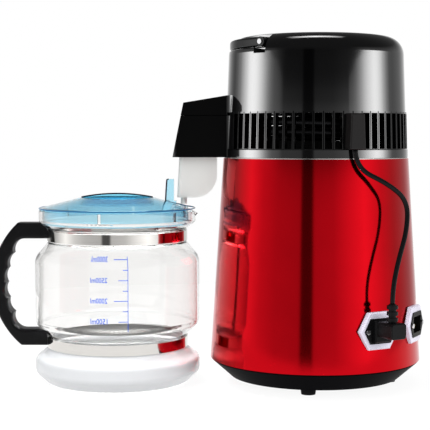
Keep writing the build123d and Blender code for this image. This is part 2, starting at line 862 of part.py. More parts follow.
# Filter cup: upright front, swept back and an open top with a flange
with BuildPart() as filter_cup:
    cup_inside = cup_width / 2 - cup_wall
    with BuildSketch(machine_section):
        with BuildLine():
            Polyline(
                (-cup_back, spout_bottom_z + spout_wall),
                (-cup_front + cup_lean, spout_bottom_z + spout_wall),
                (-cup_front, cup_bottom_z),
                (-cup_back - cup_sweep, cup_bottom_z),
            )
            sweep_top = cup_bottom_z + cup_sweep
            RadiusArc((-cup_back - cup_sweep, cup_bottom_z), (-cup_back, sweep_top), -cup_sweep)
            Line((-cup_back, sweep_top), (-cup_back, spout_bottom_z + spout_wall))
        make_face()
    extrude(amount=cup_width / 2, both=True)
    front_x = machine_x - cup_front + cup_lean + seat_gap
    upright = filter_cup.edges().filter_by(lambda e: e.center().X < front_x)
    fillet(upright.filter_by(lambda e: e.bounding_box().size.Z > cup_sweep), cup_corner)
    with BuildSketch(machine_section):
        with BuildLine():
            low = cup_bottom_z + cup_wall
            Polyline(
                (-cup_back - cup_wall, spout_bottom_z + spout_wall),
                (-cup_front + cup_lean + cup_wall, spout_bottom_z + spout_wall),
                (-cup_front + cup_wall, low),
                (-cup_back - cup_sweep, low),
            )
            RadiusArc((-cup_back - cup_sweep, low), (-cup_back - cup_wall, sweep_top), cup_wall - cup_sweep)
            Line((-cup_back - cup_wall, sweep_top), (-cup_back - cup_wall, spout_bottom_z + spout_wall))
        make_face()
    extrude(amount=cup_inside, both=True, mode=Mode.SUBTRACT)
    with BuildSketch(Plane.XY.offset(spout_bottom_z + spout_wall)):
        with Locations((machine_x - (cup_front - cup_lean + cup_back) / 2, 0)):
            Rectangle(cup_front - cup_lean - cup_back + cup_flange, cup_width + 2 * cup_flange)
            Rectangle(cup_front - cup_lean - cup_back - 2 * cup_wall, 2 * cup_inside, mode=Mode.SUBTRACT)
    extrude(amount=cup_wall)
    with Locations((machine_x - drip_place, 0, cup_bottom_z)):
        Cylinder(drip_r + seat_gap, 4 * cup_wall, mode=Mode.SUBTRACT)
filter_cup.part.label = "filter_cup"
export_step(filter_cup.part, "parts/filter_cup.step")

# Drip tube with a collar on the cup's floor
with BuildPart() as drip_tube:
    with Locations((machine_x - drip_place, 0, drip_bottom_z)):
        Cylinder(drip_r, cup_bottom_z + cup_wall - drip_bottom_z, align=standing)
    with Locations((machine_x - drip_place, 0, cup_bottom_z + cup_wall)):
        Cylinder(drip_collar_r, drip_collar_height, align=standing)
    with Locations((machine_x - drip_place, 0, drip_bottom_z)):
        Cylinder(drip_bore_r, cup_bottom_z, mode=Mode.SUBTRACT)
drip_tube.part.label = "drip_tube"
export_step(drip_tube.part, "parts/drip_tube.step")

# Steel lid over the pot, fixed under the vent ring's shelf
with BuildPart() as pot_lid:
    with Locations((machine_x, 0, shelf_bottom_z)):
        Cylinder(lid_disc_r, lid_disc_thickness, align=hanging)
        with PolarLocations(lid_screw_r, lid_screw_count):
            Cylinder(screw_shank_r + seat_gap, 3 * lid_disc_thickness, mode=Mode.SUBTRACT)
    with Locations((machine_x + steam_port_r, -steam_port_drop, shelf_bottom_z)):
        Cylinder(tube_bore_r, 3 * lid_disc_thickness, mode=Mode.SUBTRACT)
pot_lid.part.label = "pot_lid"
export_step(pot_lid.part, "parts/pot_lid.step")

# Silicone gasket between the lid and the pot's flange
lid_low_z = shelf_bottom_z - lid_disc_thickness
with BuildPart() as lid_gasket:
    with Locations((machine_x, 0, ring_bottom_z)):
        Cylinder(lid_disc_r, lid_low_z - ring_bottom_z, align=standing)
        Cylinder(gasket_inner_r, lid_low_z, mode=Mode.SUBTRACT)
lid_gasket.part.label = "lid_gasket"
export_step(lid_gasket.part, "parts/lid_gasket.step")

# Screws that hold the lid to the shelf
with BuildPart() as lid_screws:
    with Locations((machine_x, 0, lid_low_z)):
        with PolarLocations(lid_screw_r, lid_screw_count):
            Cylinder(screw_head_r, screw_head_height, align=hanging)
            Cylinder(screw_shank_r, band_top_z - lid_low_z, align=standing)
lid_screws.part.label = "lid_screws"
export_step(lid_screws.part, "parts/lid_screws.step")

# Steam tube from the lid up to the coil's first turn
with BuildPart() as steam_tube:
    with BuildLine() as steam_way:
        FilletPolyline(
            (machine_x + steam_port_r, -steam_port_drop, shelf_bottom_z),
            (machine_x + steam_port_r, -steam_port_drop, coil_top_z),
            (machine_x + coil_r, -steam_port_drop, coil_top_z),
            (machine_x + coil_r, 0, coil_top_z),
            radius=steam_bend,
        )
    with BuildSketch(Plane((machine_x + steam_port_r, -steam_port_drop, shelf_bottom_z))):
        Circle(tube_r)
        Circle(tube_bore_r, mode=Mode.SUBTRACT)
    sweep(path=steam_way.line)
steam_tube.part.label = "steam_tube"
export_step(steam_tube.part, "parts/steam_tube.step")

# Condenser coil: one tube of pairs of arcs that meet smoothly, falling from the steam tube to the spout
coil_drop = coil_top_z - coil_bottom_z
coil_quarters = round(coil_turns * 4)
coil_level = [Vector(0, 1, 0)] + [None] * (coil_quarters - 1) + [Vector(0, -1, 0)]
coil_points = []
coil_tangents = []
for k in range(coil_quarters + 1):
    a = k * pi / 2
    coil_points.append(
        Vector(machine_x + coil_r * cos(a), coil_r * sin(a), coil_top_z - coil_drop * k / coil_quarters)
    )
    sloping = Vector(-coil_r * sin(a), coil_r * cos(a), -coil_drop / coil_quarters / (pi / 2)).normalized()
    coil_tangents.append(coil_level[k] or sloping)
with BuildPart() as condenser_coil:
    with BuildLine() as coil_way:
        for k in range(coil_quarters):
            p, q, t, u = coil_points[k], coil_points[k + 1], coil_tangents[k], coil_tangents[k + 1]
            v = q - p
            both = v.dot(t + u)
            turn = 2 * (1 - t.dot(u))
            reach = (sqrt(both**2 + turn * v.dot(v)) - both) / turn
            middle = (p + t * reach + q - u * reach) / 2
            TangentArc(p, middle, tangent=t)
            TangentArc(middle, q, tangent=(q - u * reach - middle))
    with BuildSketch(Plane(coil_points[0], x_dir=(1, 0, 0), z_dir=(0, 1, 0))):
        Circle(tube_r)
        Circle(tube_bore_r, mode=Mode.SUBTRACT)
    sweep(path=coil_way.line)
condenser_coil.part.label = "condenser_coil"
export_step(condenser_coil.part, "parts/condenser_coil.step")
print("coil least gap between turns", round(coil_drop / coil_turns - 2 * tube_r, 2))

# Condensate tube from the coil's end through the ring into the spout
with BuildPart() as condensate_tube:
    with BuildLine() as tail_way:
        FilletPolyline(
            (machine_x - coil_r, 0, coil_bottom_z),
            (machine_x - coil_r, -tail_offset, coil_bottom_z),
            (machine_x - tail_reach, -tail_offset, coil_bottom_z),
            (machine_x - tail_reach, -tail_offset, tail_end_z),
            radius=tail_bend,
        )
    with BuildSketch(Plane((machine_x - coil_r, 0, coil_bottom_z), x_dir=(1, 0, 0), z_dir=(0, -1, 0))):
        Circle(tube_r)
        Circle(tube_bore_r, mode=Mode.SUBTRACT)
    sweep(path=tail_way.line)
condensate_tube.part.label = "condensate_tube"
export_step(condensate_tube.part, "parts/condensate_tube.step")

# Motor bracket: round plate on posts under the dome
with BuildPart() as motor_bracket:
    with Locations((machine_x, 0, bracket_plate_z)):
        Cylinder(bracket_plate_r, bracket_plate_thickness, align=hanging)
        with PolarLocations(post_ring_r, post_count):
            Cylinder(post_r, cavity_top_z - bracket_plate_z, align=standing)
motor_bracket.part.label = "motor_bracket"
export_step(motor_bracket.part, "parts/motor_bracket.step")

# Fan motor under the bracket
motor_top_z = bracket_plate_z - bracket_plate_thickness
motor_low_z = motor_top_z - motor_height
with BuildPart() as fan_motor:
    with Locations((machine_x, 0, motor_top_z)):
        Cylinder(motor_r, motor_height, align=hanging)
    chamfer(fan_motor.edges().group_by(Axis.Z)[0], motor_edge)
    with Locations((machine_x, 0, motor_low_z)):
        Cylinder(shaft_r + running_gap, 2 * (shaft_bite + running_gap), mode=Mode.SUBTRACT)
fan_motor.part.label = "fan_motor"
export_step(fan_motor.part, "parts/fan_motor.step")

# Motor shaft, from inside the motor to the foot of the hub
hub_low_z = hub_top_z - hub_height
with BuildPart() as motor_shaft:
    with Locations((machine_x, 0, hub_low_z)):
        Cylinder(shaft_r, motor_low_z + shaft_bite - hub_low_z, align=standing)
motor_shaft.part.label = "motor_shaft"
export_step(motor_shaft.part, "parts/motor_shaft.step")

# Fan rotor: hub with pitched blades
with BuildPart() as fan_rotor:
    with Locations((machine_x, 0, hub_low_z)):
        Cylinder(hub_r, hub_height, align=standing)
    with Locations((machine_x, 0, hub_low_z + hub_height / 2)):
        with PolarLocations((blade_tip_r + shaft_r) / 2 + shaft_r, blade_count):
            Box(
                blade_tip_r - 2 * shaft_r,
                fan_blade_width,
                fan_blade_thickness,
                rotation=(blade_pitch, 0, 0),
            )
    with Locations((machine_x, 0, hub_low_z + hub_height / 2)):
        Cylinder(blade_tip_r, 2 * fan_blade_width, mode=Mode.INTERSECT)
    with Locations((machine_x, 0, hub_low_z)):
        Cylinder(shaft_r, 2 * hub_height + fan_blade_width, mode=Mode.SUBTRACT)
fan_rotor.part.label = "fan_rotor"
export_step(fan_rotor.part, "parts/fan_rotor.step")

# Cover box over the lead's entry in the vent ring
cover_low_z = band_top_z + band_step
with BuildPart() as lead_cover:
    with BuildSketch(side_plane(cover_turn, cover_face_r, 0)):
        with BuildLine():
            Polyline(
                (-cover_low_width / 2, cover_low_z),
                (cover_low_width / 2, cover_low_z),
                (cover_top_width / 2, cover_top_z),
                (-cover_top_width / 2, cover_top_z),
                close=True,
            )
        make_face()
    extrude(amount=-(cover_face_r - vent_inner_r))
    cover_mid = side_plane(cover_turn, cover_face_r, (cover_low_z + cover_top_z) / 2).origin
    fillet(lead_cover.faces().sort_by_distance(cover_mid)[0].edges(), cover_round)
    with Locations((machine_x, 0, cover_low_z)):
        Cone(vent_bottom_r, vent_top_r, ring_top_z - cover_low_z, align=standing, mode=Mode.SUBTRACT)
lead_cover.part.label = "lead_cover"
export_step(lead_cover.part, "parts/lead_cover.step")

# Plug of the fan lead: nose in the outlet and a rounded body
with BuildPart() as fan_plug:
    with BuildSketch(plug_face.offset(outlet_front + running_gap)):
        Rectangle(plug_nose_width, plug_nose_height)
    extrude(amount=-plug_nose_length)
    with BuildSketch(plug_face.offset(outlet_front + running_gap)):
        RectangleRounded(plug_width, plug_height, plug_round)
    extrude(amount=plug_length)
    fillet(fan_plug.faces().sort_by(outlet_out)[-1].edges(), bracket_round)
fan_plug.part.label = "fan_plug"
export_step(fan_plug.part, "parts/fan_plug.step")

# Plug blades at the end of the nose
with BuildPart() as plug_blades:
    with BuildSketch(plug_face.offset(outlet_front + running_gap - plug_nose_length)):
        with Locations((-blade_spread, 0), (blade_spread, 0)):
            Rectangle(blade_thickness, blade_width)
    extrude(amount=-blade_length)
plug_blades.part.label = "plug_blades"
export_step(plug_blades.part, "parts/plug_blades.step")

# Ribbed boot where the lead enters the plug from above
boot_at = plug_face.offset(outlet_front + running_gap + boot_place).origin
boot_low_z = socket_z + plug_rise + plug_height / 2
boot_pitch = boot_rib_height + boot_gap_height
with BuildPart() as plug_boot:
    with Locations((boot_at.X, boot_at.Y, boot_low_z)):
        Cylinder(boot_core_r, boot_ribs * boot_pitch, align=standing)
    rib_levels = [boot_low_z + k * boot_pitch + boot_gap_height / 2 for k in range(boot_ribs)]
    with Locations(*[(boot_at.X, boot_at.Y, z) for z in rib_levels]):
        Cylinder(boot_rib_r, boot_rib_height, align=standing)
plug_boot.part.label = "plug_boot"
export_step(plug_boot.part, "parts/plug_boot.step")

# Fan lead, hanging in a bow from the cover to the plug's boot
exit_angle = radians(cord_exit_turn)
cord_exit = (machine_x + cord_exit_r * sin(exit_angle), -cord_exit_r * cos(exit_angle), cover_low_z)
cord_end = (boot_at.X, boot_at.Y, boot_low_z + boot_ribs * boot_pitch)
cord_route = [
    cord_exit,
    (cord_exit[0], cord_exit[1], cover_low_z - cord_lead_out),
    *[(machine_x + x, y, z) for x, y, z in cord_bow],
    (cord_end[0], cord_end[1], cord_end[2] + cord_lead_in),
    cord_end,
]
cord_runs = [Vector(*q) - Vector(*p) for p, q in zip(cord_route, cord_route[1:])]
cord_spans = [2 * cord_lead_out, *[run.length for run in cord_runs[1:-1]], 2 * cord_lead_in]
cord_radii = []
for k, run in enumerate(cord_runs[1:]):
    half_turn = radians(cord_runs[k].get_angle(run)) / 2
    arc_run = cord_arc_share * min(cord_spans[k], cord_spans[k + 1])
    cord_radii.append(arc_run * cos(half_turn) / sin(half_turn))
with BuildPart() as fan_cord:
    with BuildLine() as cord_way:
        FilletPolyline(*cord_route, radius=cord_radii)
    with BuildSketch(Plane(cord_route[0], z_dir=cord_runs[0])):
        Circle(cord_r)
    sweep(path=cord_way.line)
fan_cord.part.label = "fan_cord"
export_step(fan_cord.part, "parts/fan_cord.step")
cord_length = cord_way.wire().length
print("cord length", round(cord_length, 1), "bend radii", [round(r, 1) for r in cord_radii])
print("cord volume ratio", round(fan_cord.part.volume / (pi * cord_r**2 * cord_length), 3))

# Carafe glass: two bulges, two necks and a flared mouth with a pouring lip
glass_outline = [
    (sole_r, 0),
    (body_r, bulge_low_z),
    (body_r, bulge_high_z),
    (waist_r, waist_low_z),
    (waist_r, waist_high_z),
    (body_r, body_low_z),
    (body_r, body_high_z),
    (neck_r, neck_low_z),
    (neck_r, neck_high_z),
    (mouth_r, mouth_low_z),
    (mouth_r, rim_z),
]
glass_rounds = [
    sole_round,
    bulge_round,
    bulge_round,
    neck_round,
    neck_round,
    sole_round,
    shoulder_round,
    neck_round,
    neck_round,
    mouth_round,
]
glass_bore = [(sole_r, sole_thickness)] + [(r - glass_wall, z) for r, z in glass_outline[1:]]
lip_root = neck_r - glass_wall
with BuildPart() as carafe_glass:
    with BuildSketch(carafe_section):
        with BuildLine():
            FilletPolyline((0, 0), *glass_outline, radius=glass_rounds)
            Polyline((mouth_r, rim_z), (0, rim_z), (0, 0))
        make_face()
    revolve(axis=carafe_axis)
    with BuildSketch(Plane((carafe_x, 0, rim_z))) as lip_top:
        Polygon((lip_root, -lip_half), (lip_reach, 0), (lip_root, lip_half), align=None)
        fillet(lip_top.vertices().sort_by(Axis.X)[-1], lip_tip_round)
    with BuildSketch(Plane((carafe_x, 0, lip_root_z))) as lip_low:
        lip_foot = lip_root - glass_wall
        Polygon((lip_foot, -lip_root_half), (neck_r, 0), (lip_foot, lip_root_half), align=None)
        fillet(lip_low.vertices().sort_by(Axis.X)[-1], lip_tip_round / 2)
    loft()
    with BuildSketch(carafe_section):
        with BuildLine():
            FilletPolyline((0, sole_thickness), *glass_bore, radius=glass_rounds)
            Polyline((mouth_r - glass_wall, rim_z), (0, rim_z), (0, sole_thickness))
        make_face()
    revolve(axis=carafe_axis, mode=Mode.SUBTRACT)
    with BuildSketch(Plane((carafe_x, 0, rim_z))) as way_top:
        way_root = lip_root - 2 * glass_wall
        Polygon((way_root, -lip_half), (lip_reach - lip_wall, 0), (way_root, lip_half), align=None)
        fillet(way_top.vertices().sort_by(Axis.X)[-1], lip_tip_round)
    with BuildSketch(Plane((carafe_x, 0, lip_root_z))) as way_low:
        Polygon(
            (way_root - glass_wall, -lip_root_half),
            (neck_r - lip_wall, 0),
            (way_root - glass_wall, lip_root_half),
            align=None,
        )
        fillet(way_low.vertices().sort_by(Axis.X)[-1], lip_tip_round / 2)
    loft(mode=Mode.SUBTRACT)
    with BuildSketch(carafe_section):
        with BuildLine():
            Polyline(
                (lip_start, rim_z),
                (lip_reach, rim_z - lip_dip),
                (lip_reach, 2 * rim_z),
                (lip_start, 2 * rim_z),
                close=True,
            )
        make_face()
    extrude(amount=mouth_r, both=True, mode=Mode.SUBTRACT)
carafe_glass.part.label = "carafe_glass"
export_step(carafe_glass.part, "parts/carafe_glass.step")

# Steel band around the upper neck
with BuildPart() as upper_band:
    with Locations((carafe_x, 0, upper_band_z)):
        Cylinder(neck_r + seat_gap + band_thickness, steel_band_height)
        Cylinder(neck_r + seat_gap, steel_band_height, mode=Mode.SUBTRACT)
upper_band.part.label = "upper_band"
export_step(upper_band.part, "parts/upper_band.step")

# Steel band around the lower neck
with BuildPart() as lower_band:
    with Locations((carafe_x, 0, lower_band_z)):
        Cylinder(waist_r + seat_gap + band_thickness, steel_band_height)
        Cylinder(waist_r + seat_gap, steel_band_height, mode=Mode.SUBTRACT)
lower_band.part.label = "lower_band"
export_step(lower_band.part, "parts/lower_band.step")

# Moulded grip: bowed back, two arms and finger scallops, its roots shaped to the glass
bow_x = grip_bow_r - grip_reach
inner_r = grip_bow_r - grip_thickness
scallop_steps = [180 + scallop_span * (0.5 - k / (2 * scallop_count)) for k in range(2 * scallop_count + 1)]
scallop_points = [
    (
        bow_x + (inner_r + scallop_depth * (k % 2)) * cos(radians(a)),
        grip_middle_z + (inner_r + scallop_depth * (k % 2)) * sin(radians(a)),
    )
    for k, a in enumerate(scallop_steps)
]
bow_top = (bow_x - sqrt(grip_bow_r**2 - (grip_top_z - grip_middle_z) ** 2), grip_top_z)
bow_low = (bow_x - sqrt(grip_bow_r**2 - (grip_middle_z - grip_low_z) ** 2), grip_low_z)
upper_inner_z = grip_top_z - grip_arm
lower_inner_z = grip_low_z + grip_low_arm
root_depth = grip_bite - neck_r
with BuildPart() as carafe_handle:
    with BuildSketch(carafe_section) as grip_sketch:
        with BuildLine():
            Line((root_depth, grip_top_z), bow_top)
            ThreePointArc(bow_top, (-grip_reach, grip_middle_z), bow_low)
            Polyline(
                bow_low,
                (root_depth, grip_low_z),
                (root_depth, lower_inner_z),
                (-grip_arm_reach, lower_inner_z),
            )
            TangentArc((-grip_arm_reach, lower_inner_z), scallop_points[0], tangent=(-1, 0))
            for k in range(scallop_count):
                ThreePointArc(scallop_points[2 * k], scallop_points[2 * k + 1], scallop_points[2 * k + 2])
            TangentArc((-grip_arm_reach, upper_inner_z), scallop_points[-1], tangent=(-1, 0))
            Polyline((-grip_arm_reach, upper_inner_z), (root_depth, upper_inner_z), (root_depth, grip_top_z))
        make_face()
        bend_x = carafe_x + max(bow_top[0], bow_low[0]) + seat_gap
        bends = [v for v in grip_sketch.vertices() if v.X < bend_x]
        fillet([v for v in bends if min(abs(v.Z - grip_top_z), abs(v.Z - grip_low_z)) < seat_gap], grip_bend)
    extrude(amount=grip_width / 2, both=True)
    outer = carafe_handle.edges().filter_by(lambda e: abs(e.center().Y) > grip_width / 2 - seat_gap)
    fillet(outer.filter_by(lambda e: e.center().X < carafe_x - grip_arm_reach), grip_edge)
    with BuildSketch(carafe_section):
        with BuildLine():
            clear = band_thickness + 2 * seat_gap
            FilletPolyline((0, 0), *[(r + clear, z) for r, z in glass_outline], radius=glass_rounds)
            Polyline((mouth_r + clear, rim_z), (0, rim_z), (0, 0))
        make_face()
    revolve(axis=carafe_axis, mode=Mode.SUBTRACT)
carafe_handle.part.label = "carafe_handle"
export_step(carafe_handle.part, "parts/carafe_handle.step")

# Carafe lid: low cone, finger well with a web, slotted skirt, inlet notch and splash guard
flange_low_z = rim_z + head_gap
flange_top_z = flange_low_z + flange_thickness
well_rim_r = well_r + lid_wall
cone_slope = (lid_rim_z - flange_top_z) / (flange_r - well_rim_r)
skirt_r = mouth_r - glass_wall - skirt_gap
skirt_bore_r = skirt_r - lid_wall
with BuildPart() as carafe_lid:
    with BuildSketch(carafe_section):
        with BuildLine():
            Polyline(
                (0, well_floor_z),
                (well_r, well_floor_z),
                (well_r, lid_rim_z),
                (well_rim_r, lid_rim_z),
                (flange_r, flange_top_z),
                (flange_r, flange_low_z),
                (skirt_r, flange_low_z),
                (skirt_r, flange_low_z - skirt_depth),
                (skirt_bore_r, flange_low_z - skirt_depth),
                (skirt_bore_r, flange_top_z + cone_slope * (flange_r - skirt_bore_r) - lid_wall),
                (well_rim_r, lid_rim_z - lid_wall),
                (well_rim_r, well_floor_z - lid_wall),
                (0, well_floor_z - lid_wall),
                close=True,
            )
        make_face()
    revolve(axis=carafe_axis)
    with BuildSketch(carafe_section):
        with BuildLine():
            ThreePointArc((-well_rim_r, lid_rim_z), (0, lid_top_z), (well_rim_r, lid_rim_z))
            Polyline(
                (well_rim_r, lid_rim_z),
                (well_rim_r, well_floor_z - lid_wall),
                (-well_rim_r, well_floor_z - lid_wall),
                (-well_rim_r, lid_rim_z),
            )
        make_face()
    extrude(amount=web_thickness / 2, both=True)
    with Locations((carafe_x, 0, flange_low_z)):
        with PolarLocations(skirt_r, skirt_slots, start_angle=skirt_slot_turn):
            Box(4 * lid_wall, skirt_slot_width, skirt_depth, align=hanging, mode=Mode.SUBTRACT)
    with Locations((carafe_x + (saddle_start + inlet_start) / 2, 0, well_floor_z - lid_wall / 2)):
        saddle_height = saddle_top_z - well_floor_z + lid_wall / 2
        Box(inlet_start - saddle_start, saddle_width, saddle_height, align=standing)
    with BuildSketch(Plane((carafe_x + (guard_start + guard_end) / 2, 0, well_floor_z))):
        Rectangle(guard_end - guard_start, guard_low_width)
    with BuildSketch(Plane((carafe_x + guard_end - guard_lean / 2, 0, guard_top_z))):
        Rectangle(guard_lean, guard_high_width)
    loft()
    with Locations((carafe_x + flange_cut, 0, 0)):
        Box(
            mouth_r,
            2 * mouth_r,
            2 * dome_top_z,
            align=(Align.MIN, Align.CENTER, Align.CENTER),
            mode=Mode.SUBTRACT,
        )
    with Locations((carafe_x + inlet_start, 0, 0)):
        Box(
            mouth_r,
            2 * inlet_half,
            2 * dome_top_z,
            align=(Align.MIN, Align.CENTER, Align.CENTER),
            mode=Mode.SUBTRACT,
        )
carafe_lid.part.label = "carafe_lid"
export_step(carafe_lid.part, "parts/carafe_lid.step")
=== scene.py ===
"""Dresses the countertop water distiller and its glass carafe, with fan lead, scale and studio."""
import json
from math import cos, pi, radians, sin, tan

import bpy
import numpy as np
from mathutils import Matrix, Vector

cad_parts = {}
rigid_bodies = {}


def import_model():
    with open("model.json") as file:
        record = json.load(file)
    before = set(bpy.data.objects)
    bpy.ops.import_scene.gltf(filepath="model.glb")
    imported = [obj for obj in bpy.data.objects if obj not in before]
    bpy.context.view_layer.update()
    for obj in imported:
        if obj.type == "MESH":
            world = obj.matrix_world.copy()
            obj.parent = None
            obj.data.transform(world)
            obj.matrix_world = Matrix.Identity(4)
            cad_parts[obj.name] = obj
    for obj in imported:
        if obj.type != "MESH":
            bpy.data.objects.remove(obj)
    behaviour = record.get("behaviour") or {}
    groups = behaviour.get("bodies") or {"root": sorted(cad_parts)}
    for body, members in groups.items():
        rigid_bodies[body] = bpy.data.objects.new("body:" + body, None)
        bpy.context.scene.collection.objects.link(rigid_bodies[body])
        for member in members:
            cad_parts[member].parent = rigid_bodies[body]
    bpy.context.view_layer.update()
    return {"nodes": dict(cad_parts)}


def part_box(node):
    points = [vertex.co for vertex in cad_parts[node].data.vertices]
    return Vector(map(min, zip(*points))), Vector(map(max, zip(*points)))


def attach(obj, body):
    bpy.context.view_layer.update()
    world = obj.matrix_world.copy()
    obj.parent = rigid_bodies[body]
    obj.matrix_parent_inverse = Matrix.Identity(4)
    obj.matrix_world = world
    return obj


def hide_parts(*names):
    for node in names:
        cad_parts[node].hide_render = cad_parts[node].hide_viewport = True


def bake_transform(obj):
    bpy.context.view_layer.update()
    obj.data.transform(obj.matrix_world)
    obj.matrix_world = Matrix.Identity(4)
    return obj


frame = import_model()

# Camera. A long lens at the height of the vent ring, a little to the left of the machine's upright
# axis, which is the middle of its steel pot. It is tipped down so that the rims of the carafe show
# as flat ellipses.
pot_low, pot_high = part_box("boiling_pot")
machine_x = (pot_low.x + pot_high.x) / 2
eye_left, eye_back, eye_height = 0.1058, 1.27, 0.2542
eye_tip = 3.57
studio = bpy.context.scene.collection.objects
eye = bpy.data.objects.new("eye", bpy.data.cameras.new("eye"))
eye.data.lens = 100.7
eye.data.sensor_width = 36.0
eye.location = (machine_x - eye_left, -eye_back, eye_height)
eye.rotation_euler = (radians(90 - eye_tip), 0, 0)
studio.link(eye)
bpy.context.scene.camera = eye
bpy.context.scene.view_settings.view_transform = "Standard"

# Studio room. White behind the set, with pale cards to the left and right of the camera and a dark
# gap between them. Polished metal shows the cards and the gap, and the camera sees plain white.
room = bpy.data.worlds.new("room")
room.use_nodes = True
bpy.context.scene.world = room
tree = room.node_tree
tree.nodes.clear()


def join(tree, kind, settings=(), **sockets):
    """Adds a node, sets its properties and feeds its inputs from values or from other sockets.
    An input is given by its name, or by its number as i0, i1 and so on."""
    node = tree.nodes.new(kind)
    for key, value in dict(settings).items():
        setattr(node, key, value)
    for key, value in sockets.items():
        socket = node.inputs[int(key[1:]) if key[1:].isdigit() else key]
        if isinstance(value, bpy.types.NodeSocket):
            tree.links.new(value, socket)
        else:
            socket.default_value = value
    return node


def reckon(tree, operation, a, b=0.0, c=0.0):
    """One arithmetic step on values or sockets."""
    return join(tree, "ShaderNodeMath", {"operation": operation}, i0=a, i1=b, i2=c).outputs[0]


def between(tree, share, first, second):
    """A value that goes from the first to the second while the share goes from 0 to 1."""
    return join(tree, "ShaderNodeMix", i0=share, i2=first, i3=second).outputs[0]


def soft_step(tree, value, start, stop, low=0.0, high=1.0):
    """A smooth step from low to high while the value goes from start to stop."""
    smooth = {"interpolation_type": "SMOOTHSTEP"}
    step = join(tree, "ShaderNodeMapRange", smooth, i0=value, i1=start, i2=stop, i3=low, i4=high)
    return step.outputs[0]


def ramp(tree, value, stops):
    """A run of greys over a value from 0 to 1, straight from one stop to the next."""
    node = join(tree, "ShaderNodeValToRGB", i0=value)
    node.color_ramp.interpolation = "LINEAR"
    while len(node.color_ramp.elements) < len(stops):
        node.color_ramp.elements.new(0.5)
    for element, (place, grey) in zip(node.color_ramp.elements, stops):
        element.position = place
        element.color = (grey, grey, grey, 1)
    return node.outputs[0]


# The cards' level is given at turns to the right of the camera, in degrees. The cards beside the
# camera end a little above its height, and above them all is a dim ceiling. Glass sees a room that
# gets darker towards the camera.
white = (1, 1, 1, 1)
room_level, ceiling_level, white_level = 0.78, 0.12, 1.0
card_gain, card_end = 2.0, 0.25
card_top, card_sides = (0.085, 0.125), (-0.75, -0.35)
ceiling_start, ceiling_slope = 0.15, 4.0
back_level, back_slope, back_least = 0.8, 1.1, 0.45
card_levels = [
    (-180, 1.0), (-155, 0.6), (-137, 0.3), (-117, 0.5), (-88, 1.35), (-69, 0.85), (-50, 0.64),
    (-22, 0.56), (-19.5, 0.09), (-8, 0.09), (-5.5, 0.62), (17, 0.7), (35, 1.1), (55, 1.5),
    (81, 0.9), (100, 0.6), (130, 0.5), (160, 0.8), (180, 1.0),
]
heading = join(tree, "ShaderNodeTexCoord").outputs["Generated"]
heading = join(tree, "ShaderNodeSeparateXYZ", i0=heading).outputs
turn = reckon(tree, "ARCTAN2", heading[0], reckon(tree, "MULTIPLY", heading[1], -1.0))
turn = reckon(tree, "MULTIPLY_ADD", turn, 0.5 / pi, 0.5)
cards = ramp(tree, turn, [((angle + 180) / 360, level / card_gain) for angle, level in card_levels])
card_edge = soft_step(tree, heading[2], *card_top, card_gain, card_end)
aside = soft_step(tree, heading[1], *card_sides)
cards = reckon(tree, "MULTIPLY", cards, between(tree, aside, card_edge, card_gain))
above = reckon(tree, "MULTIPLY_ADD", heading[2], ceiling_slope, -ceiling_slope * ceiling_start)
above = join(tree, "ShaderNodeClamp", i0=above).outputs[0]
cards = between(tree, above, cards, ceiling_level)
behind = reckon(tree, "MULTIPLY_ADD", heading[1], back_slope, back_level)
behind = join(tree, "ShaderNodeClamp", i0=behind, Min=back_least).outputs[0]
ray = join(tree, "ShaderNodeLightPath").outputs
light = between(tree, ray["Is Glossy Ray"], room_level, cards)
light = between(tree, ray["Is Transmission Ray"], light, behind)
light = between(tree, ray["Is Camera Ray"], light, white_level)
air = join(tree, "ShaderNodeBackground", Color=white, Strength=light)
join(tree, "ShaderNodeOutputWorld", Surface=air.outputs[0])

# Table top. A round white board under the set, a hair below the feet, that takes a faint shadow.
# Most of its white is a glow of its own, so that it meets the white of the room without an edge.
board_r, board_y, board_z, board_sides = 0.75, 0.1, -0.0006, 96
board_glow, board_grey = 0.92, 0.1


def hoops(axis_x, radii, heights, sides):
    """Level circles round an upright axis: one row of points for each radius and its height."""
    turn = np.linspace(0, 2 * pi, sides, endpoint=False)
    r, z = np.array(radii)[:, None], np.array(heights)[:, None]
    return np.stack([axis_x + r * np.cos(turn), r * np.sin(turn), z + np.zeros(sides)], -1)


def add_piece(name, points, faces, material, smooth=0):
    """A new object at the origin from points and faces, the first few of them shaded smooth."""
    mesh = bpy.data.meshes.new(name)
    mesh.from_pydata(np.reshape(points, (-1, 3)).tolist(), [], faces)
    mesh.polygons.foreach_set("use_smooth", [k < smooth for k in range(len(faces))])
    mesh.materials.append(material)
    piece = bpy.data.objects.new(name, mesh)
    studio.link(piece)
    return piece


white_board = bpy.data.materials.new("white_board")
white_board.use_nodes = True
tree = white_board.node_tree
tree.nodes.clear()
glow = join(tree, "ShaderNodeEmission", Color=white, Strength=board_glow)
matt = join(tree, "ShaderNodeBsdfDiffuse", Color=(board_grey, board_grey, board_grey, 1))
both = join(tree, "ShaderNodeAddShader", i0=glow.outputs[0], i1=matt.outputs[0])
join(tree, "ShaderNodeOutputMaterial", Surface=both.outputs[0])
board_rim = hoops(0, [board_r], [board_z], board_sides) + (0, board_y, 0)
table_top = add_piece("table_top", board_rim, [list(range(board_sides))], white_board)

# Lamps. Two broad ones from the sides and one from above, for soft shading of the pale pieces.
# Gloss and glass don't show them, because what is seen there is the room with its cards.


def area_lamp(name, place, turned, width, height, power, hidden_from):
    """A flat lamp, placed and turned, that the named kinds of ray don't see."""
    lamp = bpy.data.objects.new(name, bpy.data.lights.new(name, "AREA"))
    lamp.data.shape = "RECTANGLE"
    lamp.data.size, lamp.data.size_y = width, height
    lamp.data.energy = power
    lamp.location = place
    lamp.rotation_euler = turned
    for kind in hidden_from:
        setattr(lamp, "visible_" + kind, False)
    studio.link(lamp)
    return lamp


